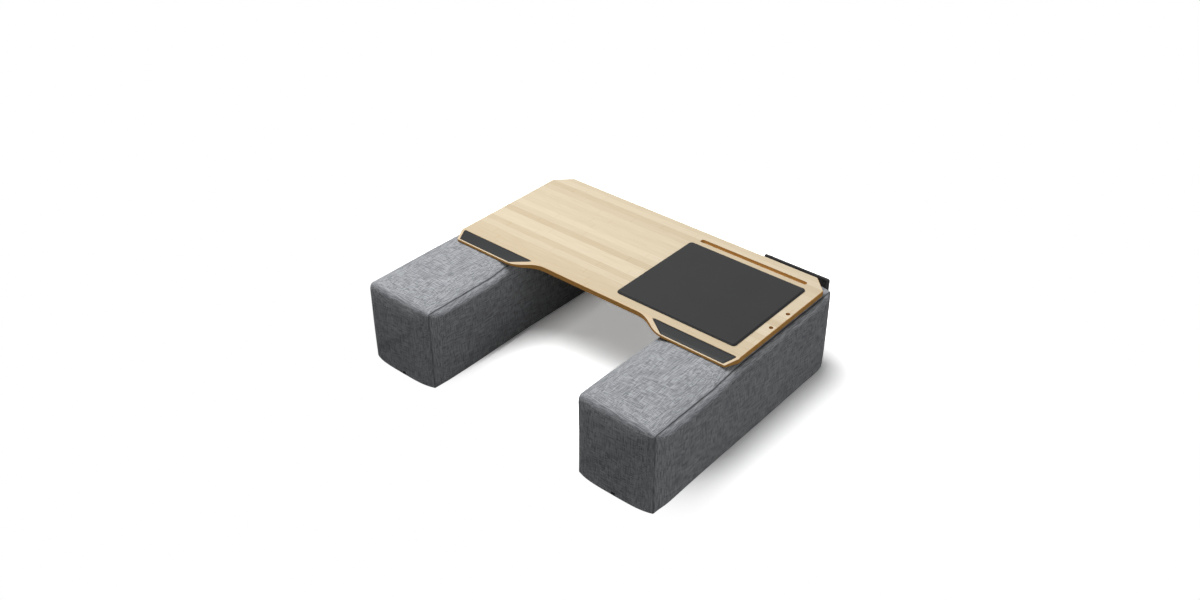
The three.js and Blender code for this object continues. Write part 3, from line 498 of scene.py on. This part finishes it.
# %% Two covered cushions
SHIFTS = {"left": -5.8, "right": -2.7}  # how far a cushion has slipped sideways over its zip
SHIFT_RUN = 60.0  # from the zip, which stays, to where the cover has slipped that far
SEAM_SHADE = (1.0, 0.6)  # painted shade of a seam along the top and along an end
SHADE_WIDTH = 0.9
for side, hand in SIDES.items():
    placed = cushion_cover(cover_form, hand) + [hand * CUSHION_OFFSET, CUSHION_MIDDLE, 0]
    placed[:, 0] += SHIFTS[side] * np.minimum(np.abs(lattice[:, 0]) / SHIFT_RUN, 1)
    cover = make_piece(f"{side}_cushion", placed, cover_faces, cover_weave, f"{side}_cushion",
                       "cover_fabric")
    # Painted shade along the seams, darker along the top than down an end
    darkness = cover.data.attributes.new("painted_seam_shade", "FLOAT", "POINT")
    shade = np.exp(-(seam_distance / SHADE_WIDTH) ** 2) * np.where(off_top < off_end, *SEAM_SHADE)
    darkness.data.foreach_set("value", shade.astype(np.float32))
    subdivide(cover)
    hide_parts(*(f"{side}_{part}" for part in (
        "cover_top", "cover_right_side", "cover_left_side", "foam_core")))

# %% [markdown]
# ## Bamboo board
# The board is laminated bamboo: strips about 20 mm wide lie side by side, each a little lighter or
# darker, with fine fibres along them and a faint ring now and then where the cane had a joint. Its
# edges were cut by a laser, which browns them. The CAD solid already has the board's true shape,
# so only the finish is new. The way a face points tells the flat grain from the cut edge.

# %% Laminated bamboo
STRIP_WIDTH, LINE_WIDTH, LINE_TONE = 19.0, 0.4, 0.12  # strips, and the dark line between two
STRIP_TONE = (0.45, -0.2)  # how much the strips differ in tone, and the darkest one's tone
RING_SPACING, RING_WIDTH, RING_TONE = 260.0, 2.5, 0.16
FIBRE = (70.0, 1.1)  # length and width of a fibre; the real ones are finer, and wouldn't show
FIBRE_TONE, FIBRE_STRENGTH, FIBRE_RELIEF = 1.1, 0.06, 0.3  # in the colour, and in the bump
PLIES = 3.0  # layers of bamboo in the thickness of the board
GLUE_EDGE, GLUE_TONE = (0.02, 0.12), 0.35  # shares of a ply where its glue line fades, its tone
SCORCH = 0.5  # how much the fibres show on the cut edge
FLAT_FACE = (0.95, 0.985)  # how far up a face points where the cut edge ends and flat grain starts
ROUGHNESS = (0.85, 0.42)  # of the bare cut edge and of the lacquer
board_low, board_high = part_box("board")


def laminated_bamboo(name):
    """Bamboo laid in strips along X under a satin lacquer, with scorched bare edges. Straight grain
    gives long fine lines, and the strips' tones change in steps."""
    material, tree, shader = new_finish(name, IOR=1.5)
    place = add_node(tree, "TexCoord")
    at = add_node(tree, "SeparateXYZ", {0: place.outputs["Object"]})
    facing = add_node(tree, "SeparateXYZ", {0: place.outputs["Normal"]})
    strip = add_node(tree, "Math", {0: at.outputs[1], 1: STRIP_WIDTH * MM}, operation="DIVIDE")
    number = add_node(tree, "Math", {0: strip.outputs[0]}, operation="FLOOR")
    tone = add_node(tree, "TexWhiteNoise", {"W": number.outputs[0]}, noise_dimensions="1D")
    drawn = add_node(tree, "Mapping", {
        "Vector": place.outputs["Object"],
        "Scale": [1 / (s * MM) for s in (FIBRE[0], FIBRE[1], FIBRE[1])]})
    fibre = add_node(tree, "TexNoise", {"Vector": drawn.outputs[0], "Scale": 1.0, "Detail": 3.0,
                                        "Roughness": 0.65})
    shift = add_node(tree, "Math", {0: at.outputs[0], 1: 1 / (RING_SPACING * MM),
                                    2: tone.outputs[0]}, operation="MULTIPLY_ADD")
    saw = add_node(tree, "Math", {0: shift.outputs[0], 1: 0.5}, operation="PINGPONG")
    ring = add_node(tree, "MapRange", {
        "Value": saw.outputs[0], "From Min": 0.0, "From Max": RING_WIDTH / RING_SPACING,
        "To Min": RING_TONE, "To Max": 0.0})
    joint = add_node(tree, "Math", {0: strip.outputs[0], 1: 0.5}, operation="PINGPONG")
    line = add_node(tree, "MapRange", {
        "Value": joint.outputs[0], "From Min": 0.0, "From Max": LINE_WIDTH / STRIP_WIDTH,
        "To Min": LINE_TONE, "To Max": 0.0})
    blend = add_node(tree, "Math", {0: tone.outputs[0], 1: STRIP_TONE[0], 2: STRIP_TONE[1]},
                     operation="MULTIPLY_ADD")
    grain = add_node(tree, "Math", {0: fibre.outputs["Fac"], 1: FIBRE_TONE, 2: blend.outputs[0]},
                     operation="MULTIPLY_ADD")
    darker = add_node(tree, "Math", {0: ring.outputs[0], 1: line.outputs[0]}, operation="ADD")
    light = add_node(tree, "Math", {0: grain.outputs[0], 1: darker.outputs[0]},
                     operation="SUBTRACT", use_clamp=True)
    flat = add_node(tree, "Mix", {0: light.outputs[0], 6: colour("#b09b7a"), 7: colour("#d4c7ae")},
                    data_type="RGBA")
    height = add_node(tree, "MapRange", {
        "Value": at.outputs[2], "From Min": board_low[2], "From Max": board_high[2],
        "To Min": 0.0, "To Max": PLIES})
    ply = add_node(tree, "Math", {0: height.outputs[0], 1: 0.5}, operation="PINGPONG")
    glue = add_node(tree, "MapRange", {
        "Value": ply.outputs[0], "From Min": GLUE_EDGE[0], "From Max": GLUE_EDGE[1],
        "To Min": GLUE_TONE, "To Max": 1.0})
    scorch = add_node(tree, "Math", {0: fibre.outputs["Fac"], 1: SCORCH, 2: glue.outputs[0]},
                      operation="MULTIPLY_ADD")
    cut = add_node(tree, "Mix", {0: scorch.outputs[0], 6: colour("#724a1a"), 7: colour("#ba8740")},
                   data_type="RGBA")
    level = add_node(tree, "Math", {0: facing.outputs[2]}, operation="ABSOLUTE")
    face = add_node(tree, "MapRange", {"Value": level.outputs[0], "From Min": FLAT_FACE[0],
                                       "From Max": FLAT_FACE[1]})
    whole = add_node(tree, "Mix", {0: face.outputs[0], 6: cut.outputs[2], 7: flat.outputs[2]},
                     data_type="RGBA")
    tree.links.new(whole.outputs[2], shader.inputs["Base Color"])
    lacquer = add_node(tree, "MapRange", {"Value": face.outputs[0], "To Min": ROUGHNESS[0],
                                          "To Max": ROUGHNESS[1]})
    tree.links.new(lacquer.outputs[0], shader.inputs["Roughness"])
    bump = add_node(tree, "Bump", {"Height": fibre.outputs["Fac"], "Strength": FIBRE_STRENGTH,
                                   "Distance": FIBRE_RELIEF * MM})
    tree.links.new(bump.outputs[0], shader.inputs["Normal"])
    return material


def refinish(node, material):
    """Gives a CAD node, whose shape stays as it is, a finish of its own."""
    nodes[node].data.materials.clear()
    nodes[node].data.materials.append(material)


refinish("board", laminated_bamboo("laminated_bamboo"))
print("board:", [round((high - low) / MM) for low, high in zip(board_low, board_high)], "mm")

# %% [markdown]
# ## Leatherette, rubber and pad cloth
# The wrist rests wear a fine-grained PU leatherette with a slight sheen. The mouse pad has a
# smooth working surface on a rubber base. All three are near black, and differ in gloss and grain.

# %% Dark finishes
CLOUDS = 14.0  # broad clouds of tone in a metre
CELL_TONE = 0.5  # how much the cells' painted highlight and shade count beside the clouds
TONE_RANGE = (0.4, 1.1)  # sums of both between the lighter and the darker colour


def grained(name, dark, light, roughness, grain, relief, distance):
    """A dark moulded or embossed skin: cells of a given size in mm, a little lighter on their
    raised tops and darker in the hollows between them, as painted highlight and painted shade.
    """
    material, tree, shader = new_finish(name, Roughness=roughness, Specular_IOR_Level=0.2)
    place = add_node(tree, "TexCoord")
    cells = add_node(tree, "TexVoronoi", {"Vector": place.outputs["Object"],
                                          "Scale": 1 / (grain * MM)}, feature="SMOOTH_F1")
    soft = add_node(tree, "TexNoise", {"Vector": place.outputs["Object"], "Scale": CLOUDS,
                                       "Detail": 3.0})
    mixed = add_node(tree, "Math", {0: cells.outputs["Distance"], 1: CELL_TONE,
                                    2: soft.outputs["Fac"]}, operation="MULTIPLY_ADD")
    share = add_node(tree, "MapRange", {"Value": mixed.outputs[0], "From Min": TONE_RANGE[0],
                                        "From Max": TONE_RANGE[1]})
    # Painted highlight on the cells' tops and painted shade in their hollows, with real clouds of
    # tone
    tint = add_node(tree, "Mix", {0: share.outputs[0], 6: colour(light), 7: colour(dark)},
                    data_type="RGBA")
    tree.links.new(tint.outputs[2], shader.inputs["Base Color"])
    bump = add_node(tree, "Bump", {"Height": cells.outputs["Distance"], "Strength": relief,
                                   "Distance": distance * MM}, invert=True)
    tree.links.new(bump.outputs[0], shader.inputs["Normal"])
    return material


leatherette = grained("pu_leatherette", "#141516", "#1c1d1e", 0.5, 1.6, 0.35, 0.3)
pad_surface = grained("pad_working_surface", "#1e1e1f", "#222223", 0.5, 1.2, 0.2, 0.15)
pad_rubber = grained("black_rubber", "#121314", "#1a1b1c", 0.6, 2.0, 0.2, 0.2)
grip_rubber = grained("grip_rubber", "#1d1d1e", "#28282a", 0.8, 2.5, 0.5, 0.4)
for side in SIDES:
    for edge_name in ("outer", "inner"):
        refinish(f"{side}_{edge_name}_grip_strip", grip_rubber)
print("finishes:", leatherette.name, pad_surface.name, pad_rubber.name, grip_rubber.name)

# %% [markdown]
# ## Wrist rests
# Each rest is a thin padded strip set into the slope of a tongue. Its outline is a trapezium with
# rounded corners, so a grid of rows from end to end, shorter near the corners, covers it. The
# height of a point depends on how far it is from the edge: it rises quickly over a rolled edge,
# dips into a sewn line, and ends in a low crown.

# %% Grids and closed bodies


def rounded_grid(low_ends, high_ends, low, high, radius, rows, columns):
    """A grid over a four-sided outline with rounded corners, as u, v and the distance to the edge.
    Rows lie closer together at the edges, at the cosine of even angles. A row that is nearer than
    the radius to the first or last one is shortened by the arc of the corner."""
    v = (low + high) / 2 - (high - low) / 2 * np.cos(np.linspace(0, np.pi, rows))[:, None]
    share = (v - low) / (high - low)
    near = np.minimum(np.minimum(v - low, high - v), radius)
    short = radius - np.sqrt(np.maximum(radius ** 2 - (radius - near) ** 2, 0))
    left = low_ends[0] + (high_ends[0] - low_ends[0]) * share + short
    right = low_ends[1] + (high_ends[1] - low_ends[1]) * share - short
    t = (1 - np.cos(np.linspace(0, np.pi, columns))) / 2
    u = left + (right - left) * t
    edge = np.minimum(np.minimum(u - left, right - u), np.minimum(v - low, high - v))
    return u, np.broadcast_to(v, u.shape), edge


def grid_faces(ids):
    """The quads between the neighbouring points of a grid, from the points' numbers."""
    corners = [ids[:-1, :-1], ids[:-1, 1:], ids[1:, 1:], ids[1:, :-1]]
    return np.stack(corners, -1).reshape(-1, 4)


def slab(u, v, top, base):
    """A closed body between two grids of heights over the same u and v: both faces and the rim."""
    upper = np.stack([u, v, np.broadcast_to(top, u.shape)], -1).reshape(-1, 3)
    lower = np.stack([u, v, np.broadcast_to(base, u.shape)], -1).reshape(-1, 3)
    count = u.size
    ids = np.arange(count).reshape(u.shape)
    quads = grid_faces(ids)
    ring = np.concatenate([ids[0, :-1], ids[:-1, -1], ids[-1, :0:-1], ids[:0:-1, 0]])
    after = np.roll(ring, -1)
    rim = np.stack([ring, ring + count, after + count, after], -1)[:, ::-1]
    return np.concatenate([upper, lower]), np.concatenate([quads, quads[:, ::-1] + count, rim])


def placed_in(points, origin, x_axis, y_axis, z_axis):
    """Points of a local frame in the desk's frame: origin plus each coordinate on its axis."""
    return np.asarray(origin) + points @ np.array([x_axis, y_axis, z_axis])


# %% Padded strips on the slope
SLOPE_RUN, SLOPE_DROP = 32.0, 6.5
BOARD_HALF = (board_high[0] - board_low[0]) / MM / 2
BOARD_CENTRE = (board_high[0] + board_low[0]) / MM / 2
BOARD_FRONT = board_low[1] / MM
BOARD_TOP = board_high[2] / MM
REST_MARGIN = 3  # of the tongue in front of a rest
REST_FRONT = REST_MARGIN - math.hypot(SLOPE_RUN, SLOPE_DROP)  # up the slope from its crease
REST_REAR = -1.2
REST_RADIUS = 3.0
REST_FRONT_ENDS = (204.0, BOARD_HALF - 18.5)  # from the board's middle
REST_REAR_ENDS = (159.0, BOARD_HALF - 6.0)
REST_SINK, REST_EDGE, REST_CROWN = -2.6, -0.5, 1.1  # heights of its base, its edge and its middle
REST_ROLL, ROLL_POWER = 8, 3  # run of the rolled edge, and power of its rise
SEWN_LINE = (0.35, 2.2, 0.6)  # its depth, distance from the edge and width

slope = math.atan2(SLOPE_DROP, SLOPE_RUN)
slope_origin = [BOARD_CENTRE, BOARD_FRONT + SLOPE_RUN, BOARD_TOP]
slope_axes = ([1, 0, 0], [0, math.cos(slope), math.sin(slope)],
              [0, -math.sin(slope), math.cos(slope)])
for side, hand in SIDES.items():
    ends = [sorted(hand * x for x in pair) for pair in (REST_FRONT_ENDS, REST_REAR_ENDS)]
    u, v, edge = rounded_grid(*ends, REST_FRONT, REST_REAR, REST_RADIUS, 27, 61)
    rolled = 1 - (1 - np.clip(edge / REST_ROLL, 0, 1)) ** ROLL_POWER
    sewn = -SEWN_LINE[0] * np.exp(-((edge - SEWN_LINE[1]) / SEWN_LINE[2]) ** 2)
    points, faces = slab(u, v, REST_EDGE + (REST_CROWN - REST_EDGE) * rolled + sewn, REST_SINK)
    rest = make_piece(f"{side}_wrist_rest", placed_in(points, slope_origin, *slope_axes), faces,
                      leatherette, "desk_board", "leatherette")
    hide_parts(f"{side}_wrist_rest_foam", f"{side}_wrist_rest_cover")

# %% [markdown]
# ## Mouse pad
# The pad is a rubber mat with rounded corners. Its working surface is a thinner sheet inside a
# narrow rim. Both are the same kind of grid as the wrist rests, with an edge that is rolled over
# less than a millimetre, so that it catches a thin line of light.

# %% Rubber base and working surface


def in_mm(corners):
    """The lowest and the highest corner of a box in metres, in mm."""
    return [np.array(corner) / MM for corner in corners]


def mat(node, radius, roll):
    """A flat mat over a CAD node's box, in mm: rounded corners, and a top edge rolled over a
    quarter circle of the given radius."""
    low, high = in_mm(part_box(node))
    ends = (low[0], high[0])
    u, v, edge = rounded_grid(ends, ends, low[1], high[1], radius, 61, 61)
    fall = roll - np.sqrt(np.maximum(roll ** 2 - np.maximum(roll - edge, 0) ** 2, 0))
    return slab(u, v, high[2] - fall, low[2])


pad_base = make_piece("mouse_pad_rubber", *mat("mouse_pad_base", radius=8, roll=0.8), pad_rubber,
                      "desk_board", "pad_rubber")
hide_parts("mouse_pad_base")
pad_top = make_piece("mouse_pad_sheet", *mat("mouse_pad_surface", radius=5, roll=0.5), pad_surface,
                     "desk_board", "pad_surface")
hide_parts("mouse_pad_surface")

# %% [markdown]
# ## Zips
# Under each cushion a zip closes the cover. Its nylon coil is a row of small loops on a woven tape,
# and the tape's end shows as a black tab in the front face, at the floor. Tape and coil are
# profiles carried along a line. The slider and its pull keep their CAD shapes.

# %% Finishes of the zips
WORN_SPOTS = 900.0  # in a metre
zip_metal, tree, shader = new_finish("blackened_zip_metal", Metallic=1.0, Roughness=0.38)
place = add_node(tree, "TexCoord")
worn = add_node(tree, "TexNoise", {"Vector": place.outputs["Object"], "Scale": WORN_SPOTS,
                                   "Detail": 3.0})
shade = add_node(tree, "Mix", {0: worn.outputs["Fac"], 6: colour("#232426"), 7: colour("#5a5b5e")},
                 data_type="RGBA")
tree.links.new(shade.outputs[2], shader.inputs["Base Color"])
zip_tape_weave = woven("zip_tape_weave", "#0e0f10", "#222325", "#0a0a0a", slub=(4, 0.8))
zip_nylon = grained("zip_nylon", "#141516", "#1e1f21", 0.4, 1.0, 0.1, 0.1)
print("finishes:", zip_metal.name, zip_tape_weave.name, zip_nylon.name)

# %% Tape, coil and slider
TAPE_THICK, TAPE_BEND, TAPE_ROUND = 1.2, 2.0, 0.4  # the last two: radius of its fold and its edges
TAPE_OUT = 1.2  # how far its folded end stands out of the front face
COIL_PITCH, COIL_ROUND, COIL_WAVE = 1.5, 0.6, 0.14  # the last: how much its loops draw in


def sweep(path, across, up, profile, looped=False):
    """A closed profile carried along a path: each path point plus the profile's two coordinates on
    the vectors across and up there. All three may differ from point to point. The ends are closed,
    or joined to each other in a loop."""
    path = np.asarray(path, float)
    across, up = (np.broadcast_to(axis, path.shape)[:, None] for axis in (across, up))
    profile = np.broadcast_to(profile, (len(path), *np.shape(profile)[-2:]))
    points = path[:, None] + profile[..., :1] * across + profile[..., 1:] * up
    count, sides = points.shape[:2]
    ids = np.arange(count * sides).reshape(count, sides)
    around = np.roll(ids, -1, 1)
    faces = np.stack([ids, around, np.roll(around, -1, 0), np.roll(ids, -1, 0)], -1)
    if looped:
        return points.reshape(-1, 3), faces.reshape(-1, 4).tolist()
    ends = [ids[0, ::-1].tolist(), ids[-1].tolist()]
    return points.reshape(-1, 3), faces[:-1].reshape(-1, 4).tolist() + ends


def corner_turns(steps):
    """The angles on the way round four corners, a quarter turn each in even steps."""
    return np.concatenate([np.linspace(k, k + 1, steps + 1) for k in range(4)]) * math.pi / 2


def rounded_bar(width, height, radius, steps=3):
    """The outline of a bar with rounded corners, as points round its middle."""
    turns = corner_turns(steps)
    corner = np.repeat([[1, 1], [-1, 1], [-1, -1], [1, -1]], steps + 1, axis=0)
    core = corner * [width / 2 - radius, height / 2 - radius]
    return core + radius * np.stack([np.cos(turns), np.sin(turns)], -1)


for side, hand in SIDES.items():
    body, middle = f"{side}_cushion", hand * CUSHION_OFFSET
    low, high = in_mm(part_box(f"{side}_zip_tape"))
    front = CUSHION_MIDDLE - END_HALF - FRONT_BULGE - TAPE_OUT
    level = high[2] - TAPE_THICK / 2
    turn = np.linspace(0, math.pi / 2, 7)
    fold = np.stack([np.full(len(turn), middle), front + TAPE_BEND * (1 - np.cos(turn)),
                     level - TAPE_BEND * (1 - np.sin(turn))], -1)
    path = np.concatenate([[[middle, front, low[2]]], fold, [[middle, high[1], level]]])
    heading = np.concatenate([[0], turn, [math.pi / 2]])
    up = np.stack([0 * heading, -np.cos(heading), np.sin(heading)], -1)
    ring = rounded_bar(high[0] - low[0], TAPE_THICK, TAPE_ROUND)
    tape = make_piece(f"{side}_zip_tape_cloth", *sweep(path, [-1, 0, 0], up, ring), zip_tape_weave,
                      body, "webbing")
    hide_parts(f"{side}_zip_tape")

    low, high = in_mm(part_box(f"{side}_zip_coil"))
    y = np.arange(low[1], high[1], COIL_PITCH / 4)
    ring = rounded_bar(high[0] - low[0], high[2] - low[2], COIL_ROUND)
    wave = np.cos(2 * math.pi * y / COIL_PITCH)[:, None] * np.sign(ring[:, 0])
    profile = ring * (1 - COIL_WAVE * (1 + wave))[..., None]
    path = np.stack([np.full(len(y), middle), y, np.full(len(y), (low[2] + high[2]) / 2)], -1)
    coil = make_piece(f"{side}_zip_teeth", *sweep(path, [-1, 0, 0], [0, 0, 1], profile), zip_nylon,
                      body, "zip_nylon")
    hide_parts(f"{side}_zip_coil")
    for part in ("slider", "pull"):
        refinish(f"{side}_zip_{part}", zip_metal)

# %% [markdown]
# ## Pocket
# A black fabric pocket hangs behind the right-hand cushion. A real pocket sags: its front bellies
# out, its bottom is round, and its mouth droops in the middle. So its front and sides are one sheet
# bent round a U, lofted from the bottom to the mouth, and thickened afterwards.

# %% Back panel
UPRIGHT = ([1, 0, 0], [0, 0, 1], [0, -1, 0])  # a panel's width, height and outside, facing forward
PANEL_RADIUS = 3.0
PANEL_WAVE, WAVE_LENGTHS = 0.2, (24, 31)  # height of its waves, and their lengths over two pi
pocket_weave = woven("black_oxford_weave", "#2a2a2b", "#3c3c3e", "#101010", slub=(5, 1.5),
                     relief=0.7)
binding_weave = woven("grosgrain_binding", "#3a3a3b", "#4c4c4d", "#0c0c0c", slub=(3, 1.2),
                      relief=0.8)
back_low, back_high = in_mm(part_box("pocket_back_panel"))
ends = (back_low[0], back_high[0])
u, v, _ = rounded_grid(ends, ends, back_low[2], back_high[2], PANEL_RADIUS, 33, 33)
wave = PANEL_WAVE * np.sin(u / WAVE_LENGTHS[0]) * np.sin(v / WAVE_LENGTHS[1])
points, faces = slab(u, v, wave, wave - (back_high[1] - back_low[1]))
back_panel = make_piece("pocket_back_cloth", placed_in(points, [0, back_low[1], 0], *UPRIGHT),
                        faces, pocket_weave, "right_cushion", "pocket_fabric")
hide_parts("pocket_back_panel")

# %% Pouch
POUCH_SAG, SAG_POWER = 2.5, 0.8  # how far it bellies out; a power under 1 puts that lower down
MOUTH_DROOP, DROOP_POWER = 3.0, 3  # a high power keeps the droop close to the mouth
POUCH_FOOT, FOOT_DEPTH = 14.0, 0.08  # height over which its bottom is round, share of depth left
POUCH_GAP, POUCH_WALL = 0.3, 1.8  # space behind it, and thickness of its cloth
GUSSET_EASE = 1.0  # how much less deep it is than the CAD model, because it bellies out
front_low, front_high = in_mm(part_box("pocket_front_panel"))
gusset = front_high[1] - back_high[1] - GUSSET_EASE
span = front_high[0] - front_low[0]
girth = span + 2 * gusset
walk = np.linspace(0, 1, 61)[:, None] * girth  # round the U
t = np.linspace(0, 1, 29)[None]  # from the bottom to the mouth
across = np.clip(walk - gusset, 0, span) + front_low[0]
depth = np.minimum(np.minimum(walk, girth - walk), gusset)
height = front_low[2] + (front_high[2] - front_low[2]) * t
foot = np.clip((height - front_low[2]) / POUCH_FOOT, 0, 1)
round_foot = np.sqrt(1 - (1 - foot) ** 2)
central = np.sin(np.pi * np.clip((across - front_low[0]) / span, 0, 1))
belly = POUCH_SAG * central * np.sin(np.pi * t ** SAG_POWER)
y = back_high[1] + POUCH_GAP + depth * (FOOT_DEPTH + (1 - FOOT_DEPTH) * round_foot) + belly
droop = MOUTH_DROOP * central * t ** DROOP_POWER
pouch_points = np.stack([across + 0 * t, y, height - droop], -1)
pouch = make_piece("pocket_pouch", pouch_points.reshape(-1, 3),
                   grid_faces(np.arange(y.size).reshape(y.shape)), pocket_weave, "right_cushion",
                   "pocket_fabric")
wall = pouch.modifiers.new("wall", "SOLIDIFY")
wall.thickness = POUCH_WALL * MM
wall.offset = -1
subdivide(pouch)
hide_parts("pocket_front_panel", "pocket_base_gusset", "pocket_left_gusset",
            "pocket_right_gusset")

# %% Bindings and tapes
MOUTH_TAPE = (3.4, 6, 1.2)  # its width, its height and the radius of its edges
MOUTH_SINK = 2.4  # how far its middle lies below the rim
EDGE_INSET = 2.6  # from the outside of the back binding to its middle line
EDGE_BOW, EDGE_ROUND, BOW_STEPS = 1.5, 1.2, 6  # radii of its corners and edges, and points
TAPE_CORNER = 1.5
rim = pouch_points[:, -1]
along_rim = np.gradient(rim, axis=0)
rim_across = np.stack([along_rim[:, 1], -along_rim[:, 0], 0 * rim[:, 0]], -1)
rim_across /= np.linalg.norm(rim_across, axis=1, keepdims=True)
points, faces = sweep(rim - [0, 0, MOUTH_SINK], rim_across, [0, 0, 1], rounded_bar(*MOUTH_TAPE))
mouth_binding = make_piece("pocket_mouth_tape", points, faces, binding_weave, "right_cushion",
                           "webbing")
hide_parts("pocket_mouth_binding")

bind_low, bind_high = in_mm(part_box("pocket_back_binding"))
width, thick, height = bind_high - bind_low
middle = (bind_low + bind_high) / 2
loop = rounded_bar(width - 2 * EDGE_INSET, height - 2 * EDGE_INSET, EDGE_BOW, BOW_STEPS)
path = np.stack([middle[0] + loop[:, 0], np.full(len(loop), middle[1]), middle[2] + loop[:, 1]], -1)
turns = corner_turns(BOW_STEPS)
outside = np.stack([np.cos(turns), 0 * turns, np.sin(turns)], -1)
points, faces = sweep(path, [0, -1, 0], outside, rounded_bar(thick, 2 * EDGE_INSET, EDGE_ROUND),
                      looped=True)
back_binding = make_piece("pocket_edge_tape", points, faces, binding_weave, "right_cushion",
                          "webbing")
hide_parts("pocket_back_binding")

for node in ("pocket_loop_tape", "pocket_hook_tape"):
    low, high = in_mm(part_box(node))
    ends = (low[0], high[0])
    u, v, _ = rounded_grid(ends, ends, low[2], high[2], TAPE_CORNER, 9, 25)
    points, faces = slab(u, v, 0.0, low[1] - high[1])
    tape = make_piece(f"{node}_cloth", placed_in(points, [0, low[1], 0], *UPRIGHT), faces,
                      binding_weave, "right_cushion", "webbing")
    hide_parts(node)
